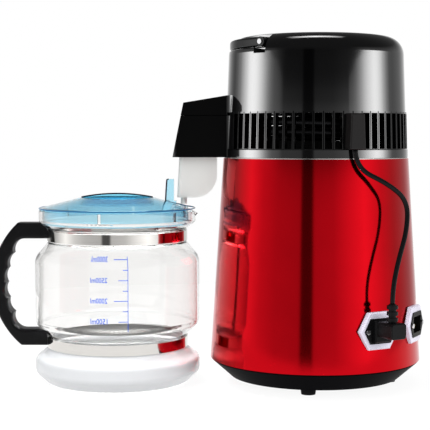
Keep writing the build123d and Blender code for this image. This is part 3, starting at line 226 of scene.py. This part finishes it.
for name, place, turned, size, power in (
    ("lamp_left", (-1.0, -1.0, 1.1), (0.95, 0, -0.75), 0.9, 9),
    ("lamp_right", (1.2, -0.9, 1.0), (0.95, 0, 0.85), 0.9, 8),
    ("lamp_top", (0.0, -0.1, 1.6), (0, 0, 0), 1.1, 7),
):
    area_lamp(name, place, turned, size, size, power, ("glossy", "transmission"))

# Soft boxes for the black head. Two upright ones at the sides and one over the front, with faded
# edges, that light the gloss black mouldings of the head alone and show there as broad soft
# streaks.
dome_middle = Vector((machine_x, 0, 0.32))


def gathered(name, *nodes):
    """A collection of carried-over nodes, for a lamp that lights only some pieces."""
    collection = bpy.data.collections.new(name)
    for node in nodes:
        collection.objects.link(frame["nodes"][node])
    return collection


def aimed(way):
    """The turn that makes a lamp shine along a direction."""
    return way.to_track_quat("-Z", "Y").to_euler()


def soft_box(name, turn, tilt, reach, width, height, level, stops):
    """A flat lamp that faces the dome from a turn and a tilt, in degrees. The stops give the part
    of its level at angles to each side of its middle. Its power is 4 watts for each square metre
    and unit of level."""
    turn, tilt = radians(turn), radians(tilt)
    out = Vector((sin(turn) * cos(tilt), -cos(turn) * cos(tilt), sin(tilt)))
    power = 4 * width * height * level
    unseen = ("camera", "transmission")
    lamp = area_lamp(name, dome_middle + reach * out, aimed(-out), width, height, power, unseen)
    lamp.data.use_nodes = True
    tree = lamp.data.node_tree
    tree.nodes.clear()
    flat = join(tree, "ShaderNodeNewGeometry").outputs["Parametric"]
    across = join(tree, "ShaderNodeSeparateXYZ", i0=flat).outputs[0]
    places = [(0.5 + tan(radians(angle)) * reach / width, part) for angle, part in stops]
    glow = join(tree, "ShaderNodeEmission", Color=white, Strength=ramp(tree, across, places))
    join(tree, "ShaderNodeOutputLight", Surface=glow.outputs[0])
    lamp.light_linking.receiver_collection = head_gloss


head_gloss = gathered("head_gloss", "head_dome", "vent_ring")
soft_box("soft_box_left", turn=-88, tilt=0, reach=1.6, width=3.0, height=0.5, level=12.5, stops=[
    (-43, 0.0), (-36, 0.018), (-28, 0.077), (-21, 0.228), (-14.3, 0.43), (-8.3, 0.7), (-2.8, 0.81),
    (2.5, 0.82), (7.5, 0.73), (12.3, 0.565), (17, 0.366), (21.4, 0.2), (25.8, 0.098), (30, 0.054),
    (38, 0.034), (43, 0.0),
])
soft_box("soft_box_right", turn=80, tilt=0, reach=1.6, width=3.0, height=0.5, level=12.5, stops=[
    (-43, 0.035), (-38, 0.065), (-33.8, 0.113), (-29.7, 0.204), (-25.4, 0.344), (-21, 0.525),
    (-16.6, 0.67), (-12, 0.78), (-7.2, 0.85), (-2, 0.755), (3.1, 0.56), (8.7, 0.28), (14.7, 0.1),
    (21, 0.012), (28, 0.0),
])
soft_box("soft_box_top", turn=0, tilt=92, reach=1.5, width=1.2, height=0.34, level=11, stops=[
    (-20, 0.0), (-10, 0.6), (0, 1.0), (10, 0.6), (20, 0.0),
])

# Fill for the pale pieces. A broad lamp from the front and a small one in the jug light the cup,
# the lid, the bands, the glass and its milky base. Clear glass casts no shade in their light, so
# the white stays white inside.
neck_low, neck_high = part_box("upper_band")
carafe_x = (neck_low.x + neck_high.x) / 2
fill_place, fill_aim = Vector((carafe_x - 0.2, -1.5, 0.75)), Vector((carafe_x, 0, 0.1))
pale = gathered("pale_pieces", "filter_cup", "drip_tube", "carafe_lid", "upper_band", "lower_band")
lit = gathered("lit_pieces", "carafe_glass")
lit.children.link(pale)
for name, place, turned, size, power, hidden_from in (
    ("front_fill", fill_place, aimed(fill_aim - fill_place), 1.4, 8, ("camera", "glossy")),
    ("jug_light", (carafe_x, 0, 0.165), (0, 0, 0), 0.1, 1.0, ("glossy",)),
):
    lamp = area_lamp(name, place, turned, size, size, power, hidden_from)
    lamp.light_linking.receiver_collection = lit
    lamp.light_linking.blocker_collection = pale

# Base tray and feet. A black moulded pan that closes the boiler from below, on four rubber feet.
# Satin plastic with a fine spark-eroded grain.
grain_scale, broad_scale, grain_shade = 2600.0, 38.0, 0.5


def effect(name, given, put):
    """An empty node group with named inputs and outputs, all values but for Centre, a place."""
    group = bpy.data.node_groups.new(name, "ShaderNodeTree")
    for way, sockets in (("INPUT", given), ("OUTPUT", put)):
        for socket in sockets:
            kind = "NodeSocketVector" if socket == "Centre" else "NodeSocketFloat"
            group.interface.new_socket(socket, in_out=way, socket_type=kind)
    source, sink = group.nodes.new("NodeGroupInput"), group.nodes.new("NodeGroupOutput")
    return group, source.outputs, sink.inputs


effect_outputs = ("Roughness", "Height", "Shade")
grain, given, put = effect("mould_grain", ("Scale", "Roughness", "Spread"), effect_outputs)
place = join(grain, "ShaderNodeTexCoord").outputs["Object"]
fine = join(grain, "ShaderNodeTexNoise", Vector=place, Scale=given["Scale"], Detail=3.0).outputs[0]
broad = join(grain, "ShaderNodeTexNoise", Vector=place, Scale=broad_scale, Detail=4.0).outputs[0]
drift = reckon(grain, "MULTIPLY", reckon(grain, "SUBTRACT", broad, 0.5), given["Spread"])
grain.links.new(reckon(grain, "ADD", given["Roughness"], drift), put["Roughness"])
grain.links.new(fine, put["Height"])
shade = reckon(grain, "MULTIPLY_ADD", broad, grain_shade, 1 - grain_shade / 2)
grain.links.new(shade, put["Shade"])


def new_finish(name, group, values, **settings):
    """A new material: plain values on its shader, and an effect with its settings for roughness."""
    material = bpy.data.materials.new(name)
    material.use_nodes = True
    tree = material.node_tree
    skin = tree.nodes["Principled BSDF"]
    for socket, value in values.items():
        skin.inputs[socket].default_value = value
    surface = join(tree, "ShaderNodeGroup", {"node_tree": group}, **settings).outputs
    tree.links.new(surface["Roughness"], skin.inputs["Roughness"])
    return material, tree, skin, surface


def tint(tree, skin, surface, color, share):
    """Darkens a colour by a share of the effect's shade."""
    multiply = {"data_type": "RGBA", "blend_type": "MULTIPLY"}
    mixed = join(tree, "ShaderNodeMix", multiply, i0=share, i6=color, i7=surface["Shade"])
    tree.links.new(mixed.outputs[2], skin.inputs["Base Color"])


def lift(tree, skin, surface, bump, depth):
    """Raises the surface by the effect's height."""
    raised = join(tree, "ShaderNodeBump", Strength=bump, Distance=depth, Height=surface["Height"])
    tree.links.new(raised.outputs[0], skin.inputs["Normal"])


def moulded(
    name, color, rough, shine=0.5, spread=0.06, scale=grain_scale, bump=0.05, depth=0.0002,
    share=1.0,
):
    """Moulded plastic or rubber: colour and roughness drift, and a fine grain lifts the surface."""
    material, tree, skin, surface = new_finish(
        name, grain, {"Specular IOR Level": shine}, Scale=scale, Roughness=rough, Spread=spread,
    )
    tint(tree, skin, surface, (*color, 1), share)
    lift(tree, skin, surface, bump, depth)
    return material


def dress(material, *nodes):
    """Puts one finish on carried-over nodes."""
    for node in nodes:
        materials = frame["nodes"][node].data.materials
        materials.clear()
        materials.append(material)


dress(moulded("tray_plastic", (0.0022, 0.0022, 0.0028), 0.4, shine=0.006, bump=0.06), "base_tray")
dress(moulded("foot_rubber", (0.005, 0.005, 0.0055), 0.75, shine=0.08, bump=0.2), "feet")

# Painted shell. A tapered sleeve of polished steel under a clear candy red lacquer. The lacquer is
# deep red from the front and pales at a glancing angle.
lacquer_red = (0.55, 0.0032, 0.0085, 1)
lacquer, tree, skin, surface = new_finish(
    "candy_red_lacquer", grain, {"Metallic": 1.0}, Scale=900.0, Roughness=0.1, Spread=0.05,
)
tint(tree, skin, surface, lacquer_red, share=0.35)
lift(tree, skin, surface, bump=0.02, depth=0.0002)
dress(lacquer, "outer_shell")

# Steel pot, lid, tubes and coil. Drawn and rolled stainless steel with fine lines round the axis,
# and brighter turned screws and pins. The lid, the coil and its tubes are painted near black, as
# painted shade for the dark inside of the head.
line_stretch, line_pitch, line_rough, line_shade = 3.0, 5200.0, 0.2, 0.3


def from_centre(tree, centre):
    """A point's place on the object, measured from a centre."""
    place = join(tree, "ShaderNodeTexCoord").outputs["Object"]
    subtract = {"operation": "SUBTRACT"}
    return join(tree, "ShaderNodeVectorMath", subtract, i0=place, i1=centre).outputs[0]


lines, given, put = effect("rolled_lines", ("Centre", "Roughness"), effect_outputs)
spot = join(lines, "ShaderNodeSeparateXYZ", i0=from_centre(lines, given["Centre"])).outputs
along = reckon(lines, "MULTIPLY", reckon(lines, "ARCTAN2", spot[1], spot[0]), line_stretch)
rows = reckon(lines, "MULTIPLY", spot[2], line_pitch)
drawn = join(lines, "ShaderNodeCombineXYZ", i0=along, i1=0.0, i2=rows).outputs[0]
streak = join(lines, "ShaderNodeTexNoise", Vector=drawn, Scale=1.0, Detail=3.0).outputs[0]
drift = reckon(lines, "SUBTRACT", streak, 0.5)
rough = reckon(lines, "MULTIPLY_ADD", drift, line_rough, given["Roughness"])
shade = reckon(lines, "MULTIPLY_ADD", streak, line_shade, 1 - line_shade / 2)
lines.links.new(rough, put["Roughness"])
lines.links.new(streak, put["Height"])
lines.links.new(shade, put["Shade"])


def rolled(name, color, rough, centre, bump=0.06):
    """Rolled or turned metal with fine lines round an upright axis."""
    material, tree, skin, surface = new_finish(
        name, lines, {"Metallic": 1.0}, Centre=(centre, 0, 0), Roughness=rough,
    )
    tint(tree, skin, surface, (*color, 1), share=1.0)
    lift(tree, skin, surface, bump, depth=0.0001)
    return material


dress(rolled("pot_steel", (0.68, 0.67, 0.65), 0.24, machine_x), "boiling_pot", "heating_ring")
# Painted shade: the pot's lid is steel painted near black, to look shaded inside the head.
dress(rolled("lid_steel_painted_shade", (0.04, 0.04, 0.04), 0.3, machine_x), "pot_lid")
# Painted shade: the coil and its tubes are painted near black, to look shaded inside the head.
dress(
    rolled("coil_steel_painted_shade", (0.03, 0.03, 0.032), 0.42, machine_x),
    "condenser_coil", "steam_tube", "condensate_tube",
)
dress(
    rolled("cast_aluminium", (0.6, 0.6, 0.62), 0.42, machine_x, bump=0.2),
    "heater_plate", "motor_bracket",
)
dress(
    rolled("screw_steel", (0.75, 0.75, 0.76), 0.18, machine_x),
    "lid_screws", "handle_pins", "motor_shaft", "socket_screws",
)
dress(rolled("contact_brass", (0.78, 0.58, 0.26), 0.2, machine_x), "inlet_pins", "plug_blades")

# Electrical fittings, gasket and fan. Lavender white brackets round black socket inserts, the start
# button in its bezel, and the thermostat, switch and motor in black plastic, all moulded. The pot's
# lid is sealed by a pale silicone ring, and the fan is dark grey.
dress(
    moulded("bracket_plastic", (0.76, 0.73, 0.86), 0.28, bump=0.03),
    "outlet_bracket", "inlet_bracket",
)
dress(
    moulded("socket_plastic", (0.004, 0.004, 0.0045), 0.4, shine=0.12, bump=0.06),
    "fan_outlet", "mains_inlet", "button_bezel",
)
dress(
    moulded("housing_plastic", (0.03, 0.03, 0.032), 0.42),
    "thermostat", "start_switch", "fan_motor",
)
dress(moulded("button_plastic", (0.72, 0.72, 0.74), 0.22), "start_button")
dress(moulded("gasket_silicone", (0.72, 0.72, 0.7), 0.6), "lid_gasket")
dress(moulded("fan_plastic", (0.14, 0.14, 0.15), 0.4), "fan_rotor")

# Fan head. Dome and vent ring in black plastic, polished on the dome, the lower band and the edges
# of the fins and left dull on the spout and between the fins; the carry handle has a softer gloss.
fin_count, fin_core, fin_front_r, fin_gloss = 60, 0.06, 0.0935, 0.9
fin_foot_z, fin_top_z, spout_r = 0.245, 0.2826, 0.0968
polish, coat_rough = 0.75, 0.07


def off_axis(tree, place):
    """Distance from the upright axis: the length of a place with its height left out."""
    multiply, length = {"operation": "MULTIPLY"}, {"operation": "LENGTH"}
    flat = join(tree, "ShaderNodeVectorMath", multiply, i0=place, i1=(1, 1, 0)).outputs[0]
    return join(tree, "ShaderNodeVectorMath", length, i0=flat).outputs["Value"]


head_black = moulded(
    "head_black", (0.0006, 0.0006, 0.0007), 0.4, shine=0.08, scale=420.0, bump=0.012, depth=0.0003,
)
tree = head_black.node_tree
place = from_centre(tree, (machine_x, 0, 0))
spot = join(tree, "ShaderNodeSeparateXYZ", i0=place).outputs
reach = off_axis(tree, place)
fin_turn = reckon(tree, "MULTIPLY", reckon(tree, "ARCTAN2", spot[1], spot[0]), fin_count / (2 * pi))
off_fin = reckon(tree, "SUBTRACT", fin_turn, reckon(tree, "ROUND", fin_turn))
off_fin = reckon(tree, "ABSOLUTE", off_fin)
fin_side = reckon(tree, "GREATER_THAN", off_fin, fin_core)
fin_edge = reckon(tree, "MULTIPLY", fin_side, reckon(tree, "GREATER_THAN", reach, fin_front_r))
below_fins = reckon(tree, "LESS_THAN", spot[2], fin_foot_z)
polished = reckon(tree, "MAXIMUM", below_fins, reckon(tree, "GREATER_THAN", spot[2], fin_top_z))
polished = reckon(tree, "MAXIMUM", polished, reckon(tree, "MULTIPLY", fin_edge, fin_gloss))
polished = reckon(tree, "MULTIPLY", polished, reckon(tree, "LESS_THAN", reach, spout_r))
skin = tree.nodes["Principled BSDF"]
dull = skin.inputs["Roughness"].links[0].from_socket
kept_rough = reckon(tree, "MULTIPLY_ADD", polished, -polish, 1.0)
tree.links.new(reckon(tree, "MULTIPLY", dull, kept_rough), skin.inputs["Roughness"])
tree.links.new(polished, skin.inputs["Coat Weight"])
skin.inputs["Coat Roughness"].default_value = coat_rough
dress(head_black, "head_dome", "vent_ring")
dress(
    moulded(
        "handle_black", (0.003, 0.003, 0.0032), 0.2,
        spread=0.05, scale=420.0, bump=0.012, depth=0.0004,
    ),
    "carry_handle",
)
dress(moulded("cover_plastic", (0.008, 0.007, 0.007), 0.4, shine=0.25), "lead_cover")

# Apron under the coil. A low collar of near black plastic that stands on the pot's lid, inside the
# ring of fins: a dark sheet of painted shade, which keeps the far vents out of sight from outside.
apron_r, apron_inner_r, apron_foot_z, apron_top_z, apron_sides = 0.056, 0.055, 0.2424, 0.2534, 96


def quads(rows, columns, rows_meet=False, columns_meet=True):
    """The corners of each cell of a grid of points, whose last row or column may meet its first."""
    last_row, last_column = rows - (not rows_meet), columns - (not columns_meet)
    row, column = np.meshgrid(np.arange(last_row), np.arange(last_column), indexing="ij")
    here, after = row * columns, (row + 1) % rows * columns
    beside = (column + 1) % columns
    corners = [here + column, here + beside, after + beside, after + column]
    return np.stack(corners, -1).reshape(-1, 4).tolist()


apron_wall = hoops(
    machine_x, [apron_r, apron_r, apron_inner_r, apron_inner_r],
    [apron_foot_z, apron_top_z, apron_top_z, apron_foot_z], apron_sides,
)
# Painted shade: a near black collar put inside the head where there is only shade.
apron_painted_shade = moulded("apron_painted_shade", (0.004, 0.004, 0.004), 0.6, shine=0.1)
apron_faces = quads(4, apron_sides, rows_meet=True)
shade_apron = add_piece("shade_apron", apron_wall, apron_faces, apron_painted_shade)
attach(shade_apron, "head")

# Filter cup and drip tube. Thin moulded milky plastic, a cup with a short tube under it that hangs
# from the spout. It lets light through and blurs what is behind it.
milky_white = (0.97, 0.97, 0.95, 1)
milky, tree, skin, surface = new_finish(
    "milky_plastic", grain, {"Transmission Weight": 0.55, "IOR": 1.35},
    Scale=1500.0, Roughness=0.3, Spread=0.1,
)
tint(tree, skin, surface, milky_white, share=0.1)
dress(milky, "filter_cup", "drip_tube")

# Fan lead. A black rubber cord that hangs in a bow from the cover on the vent ring to the ribbed
# boot of the plug. It stays where it is drawn, in place of the carried-over cord, which is hidden.
lead_radius, lead_sides, lead_up = 0.0024, 20, (0.3, 0.9, 0.1)
lead_route = np.array([
    (0.030932, -0.097512, 0.245), (0.030932, -0.097512, 0.227), (0.064, -0.097, 0.211),
    (0.084, -0.086, 0.194), (0.083, -0.091, 0.166), (0.0725, -0.104, 0.136),
    (0.066161, -0.112316, 0.1094), (0.066161, -0.112316, 0.0954),
]) + (machine_x, 0, 0)
way = bpy.data.curves.new("lead_way", "CURVE")
way.dimensions = "3D"
way.resolution_u = 12
spline = way.splines.new("NURBS")
spline.points.add(len(lead_route) - 1)
spline.points.foreach_set("co", np.c_[lead_route, np.ones(len(lead_route))].ravel())
spline.order_u = 3
spline.use_endpoint_u = True


def points_of(mesh):
    """All points of a mesh as rows of x, y and z."""
    points = np.zeros(len(mesh.vertices) * 3)
    mesh.vertices.foreach_get("co", points)
    return points.reshape(-1, 3)


def drawn_points(curve):
    """The points and the faces of the mesh that a curve or a line of words makes."""
    holder = bpy.data.objects.new("holder", curve)
    mesh = bpy.data.meshes.new_from_object(holder)
    bpy.data.objects.remove(holder)
    return points_of(mesh), [list(face.vertices) for face in mesh.polygons]


def carried(line, up, radius, sides, ring=False):
    """A circle carried along a line, square to its direction, with one sideways sense all along:
    rows of points and the faces between them, and a face at each end unless the line is a ring."""
    ahead = np.roll(line, -1, 0) - np.roll(line, 1, 0) if ring else np.gradient(line, axis=0)
    ahead /= np.linalg.norm(ahead, axis=1)[:, None]
    side = np.cross(ahead, up)
    side /= np.linalg.norm(side, axis=1)[:, None]
    rise = np.cross(ahead, side)
    a = np.linspace(0, 2 * pi, sides, endpoint=False)[:, None]
    points = line[:, None] + radius * (np.cos(a) * side[:, None] + np.sin(a) * rise[:, None])
    faces = quads(len(line), sides, rows_meet=ring)
    if not ring:
        last = (len(line) - 1) * sides
        faces += [list(range(sides))[::-1], list(range(last, last + sides))]
    return points, faces


lead_line, _ = drawn_points(way)
lead_skin, lead_faces = carried(lead_line, lead_up, lead_radius, lead_sides)
lead_rubber = moulded("lead_rubber", (0.004, 0.004, 0.0044), 0.4, shine=0.16, bump=0.08)
fan_lead = add_piece("fan_lead", lead_skin, lead_faces, lead_rubber, smooth=len(lead_faces) - 2)
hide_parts("fan_cord")
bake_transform(fan_lead)
dress(lead_rubber, "fan_cord", "fan_plug", "plug_boot")

# Carafe. A jug of blown clear glass with a pouring lip, faintly warm where it is seen edge on. Its
# walls are smooth, with only a slow drift in their polish.
clear_glass, tree, skin, surface = new_finish(
    "clear_glass", grain,
    {"Base Color": (0.985, 0.982, 0.975, 1), "Transmission Weight": 1.0, "IOR": 1.47},
    Scale=60.0, Roughness=0.012, Spread=0.02,
)
dress(clear_glass, "carafe_glass")

# Base of the carafe. The low bulge under the lower band is flashed outside with milk glass, a
# glossy white coat that follows the jug from the table up to the band.
coat_low_z, coat_high_z, coat_gap, coat_wall = 0.0003, 0.0372, 0.00015, 0.0001
coat_rows, coat_sides = 60, 128
outward = 0.01

# The outer wall's radius at each height, from the points of the glass that look away from its axis.
glass = frame["nodes"]["carafe_glass"].data
normals = np.zeros(len(glass.vertices) * 3)
glass.vertex_normals.foreach_get("vector", normals)
spots, normals = points_of(glass) - (carafe_x, 0, 0), normals.reshape(-1, 3)
outside = (spots[:, :2] * normals[:, :2]).sum(1) > outward
level = np.argsort(spots[outside, 2])
wall_z, wall_r = spots[outside, 2][level], np.hypot(*spots[outside, :2].T)[level]
coat_z = np.linspace(coat_low_z, coat_high_z, coat_rows)
coat_points = hoops(carafe_x, np.interp(coat_z, wall_z, wall_r) + coat_gap, coat_z, coat_sides)
coat_faces = quads(coat_rows, coat_sides)
milk_glass = moulded(
    "milk_glass", (0.58, 0.59, 0.605), 0.12, spread=0.01, scale=60.0, bump=0.002, share=0.1,
)
milk_coat = add_piece("milk_coat", coat_points, coat_faces, milk_glass, smooth=len(coat_faces))
pale.objects.link(milk_coat)
wall = milk_coat.modifiers.new("wall", "SOLIDIFY")
wall.thickness, wall.offset = coat_wall, 1.0
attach(milk_coat, "carafe")

# Printed scale. Blue ink on the front of the jug's wall, a line with marks every 250 ml and four
# figures. It was printed to be read through the glass from the far side, so from the front it
# stands mirrored.
jug_r, ink_gap, ink_film = 0.0865, 0.00008, 0.00005
line_left, line_right, line_low, line_high = 0.0167, 0.01735, 0.0636, 0.1384
mark_right, mark_half = 0.0168, 0.00035
figure_right, figure_width, figure_drop, figure_stretch = -0.0034, 0.0172, 0.0023, 1.22
stroke_columns, stroke_rows = 9, 33
marks = (
    (0.1357, 0.003, "3000ml"), (0.1254, 0.012, ""), (0.1151, 0.0075, "2500ml"),
    (0.1046, 0.0118, ""), (0.0946, 0.003, "2000ml"), (0.0842, 0.0118, ""),
    (0.0738, 0.0075, "1500ml"),
)


def on_wall(across, up):
    """A flat drawing bent round the jug: distance across is a turn, the wall gives the radius."""
    r = np.interp(up, wall_z, wall_r) + ink_gap
    a = across / jug_r
    return np.stack([carafe_x + r * np.sin(a), -r * np.cos(a), up], -1).reshape(-1, 3)


ink_points, ink_faces, ink_count = [], [], 0
stroke_faces = np.array(quads(stroke_rows, stroke_columns, columns_meet=False))
strokes = [(line_left, line_right, line_low, line_high)]
strokes += [(left, mark_right, height - mark_half, height + mark_half) for height, left, _ in marks]
for left, right, low, high in strokes:
    columns, rows = np.linspace(left, right, stroke_columns), np.linspace(low, high, stroke_rows)
    ink_points.append(on_wall(*np.meshgrid(columns, rows)))
    ink_faces += (stroke_faces + ink_count).tolist()
    ink_count += stroke_rows * stroke_columns
for height, _, figure in marks:
    if not figure:
        continue
    words = bpy.data.curves.new("figure", "FONT")
    words.body = figure
    words.resolution_u = 3
    words.offset = 0.012
    drawn, cells = drawn_points(words)
    drawn = (drawn - drawn.min(0)) * figure_width / np.ptp(drawn[:, 0])
    across, up = figure_right - drawn[:, 0], height - figure_drop + figure_stretch * drawn[:, 1]
    ink_points.append(on_wall(across, up))
    ink_faces += [[ink_count + k for k in reversed(cell)] for cell in cells]
    ink_count += len(drawn)
scale_ink = moulded("scale_ink", (0.03, 0.13, 0.74), 0.35, shine=0.3, scale=4000.0)
scale_print = add_piece("scale_print", np.concatenate(ink_points), ink_faces, scale_ink)
film = scale_print.modifiers.new("film", "SOLIDIFY")
film.thickness, film.offset = ink_film, 1.0
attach(scale_print, "carafe")

# Carafe bands and grip. Polished strips of rolled steel, drawn tight round both necks of the jug.
# They hold the roots of a bowed grip in black plastic.
dress(rolled("band_steel", (0.72, 0.7, 0.67), 0.07, carafe_x), "upper_band", "lower_band")
dress(moulded("grip_plastic", (0.004, 0.004, 0.0045), 0.4, shine=0.14, bump=0.08), "carafe_handle")

# Carafe lid. Clear blue plastic that drops into the mouth of the jug, moulded with a finger well, a
# web across it to hold it by, and a splash guard. The well is painted a deeper blue, as painted
# shade in the finger well.
well_r, lid_blue, well_painted_shade = 0.0385, (0.48, 0.82, 0.96, 1), (0.26, 0.76, 0.97, 1)
blue, tree, skin, surface = new_finish(
    "blue_plastic", grain, {"Transmission Weight": 0.92, "IOR": 1.46},
    Scale=300.0, Roughness=0.05, Spread=0.04,
)
# Painted shade: inside the finger well the lid's colour is a deeper blue.
in_well = reckon(tree, "LESS_THAN", off_axis(tree, from_centre(tree, (carafe_x, 0, 0))), well_r)
depth = join(tree, "ShaderNodeMix", {"data_type": "RGBA"}, i0=in_well, i6=lid_blue, i7=well_painted_shade)
tint(tree, skin, surface, depth.outputs[2], share=0.15)
dress(blue, "carafe_lid")

# Edges of the lid. The clear plastic gathers its colour where it is seen edge on, and painted lines
# stand in for it: the rim as a painted line of strong blue, and the top of the web and the edge of
# the splash guard as painted shade, nearly navy.
rim_r, rim_z, rim_sides = 0.0819, 0.1826, 144
web_half, web_y, web_top_z, web_fall, web_steps = 0.0375, -0.0032, 0.1979, 2.67, 41
line_sides = 8
rim_line = hoops(carafe_x, [rim_r], [rim_z], rim_sides)[0]
bow = np.linspace(-web_half, web_half, web_steps)
web_z = web_top_z - web_fall * bow ** 2
web_line = np.stack([carafe_x + bow, np.full(web_steps, web_y), web_z], -1)
guard_line = np.array([
    (0.0512, -0.0083, 0.1885), (0.0518, -0.0074, 0.201), (0.0526, -0.0066, 0.2126),
    (0.0545, -0.0065, 0.2132),
]) + (carafe_x, 0, 0)
for name, color, path, up, radius, ring in (
    ("lid_rim_line", (0.012, 0.16, 0.36), rim_line, (0, 0, 1), 0.0007, True),
    ("lid_web_line", (0.002, 0.005, 0.02), web_line, (0, 1, 0), 0.0008, False),
    ("lid_guard_line", (0.002, 0.006, 0.025), guard_line, (0, 1, 0), 0.0008, False),
):
    points, faces = carried(path, up, radius, line_sides, ring)
    # Painted edge colour and shade: opaque tubes along the lid's rim, web and guard.
    painted_edge_shade = moulded(name, color, 0.15, spread=0.04)
    painted_lid_line = add_piece(name, points, faces, painted_edge_shade, smooth=len(faces))
    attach(painted_lid_line, "lid")
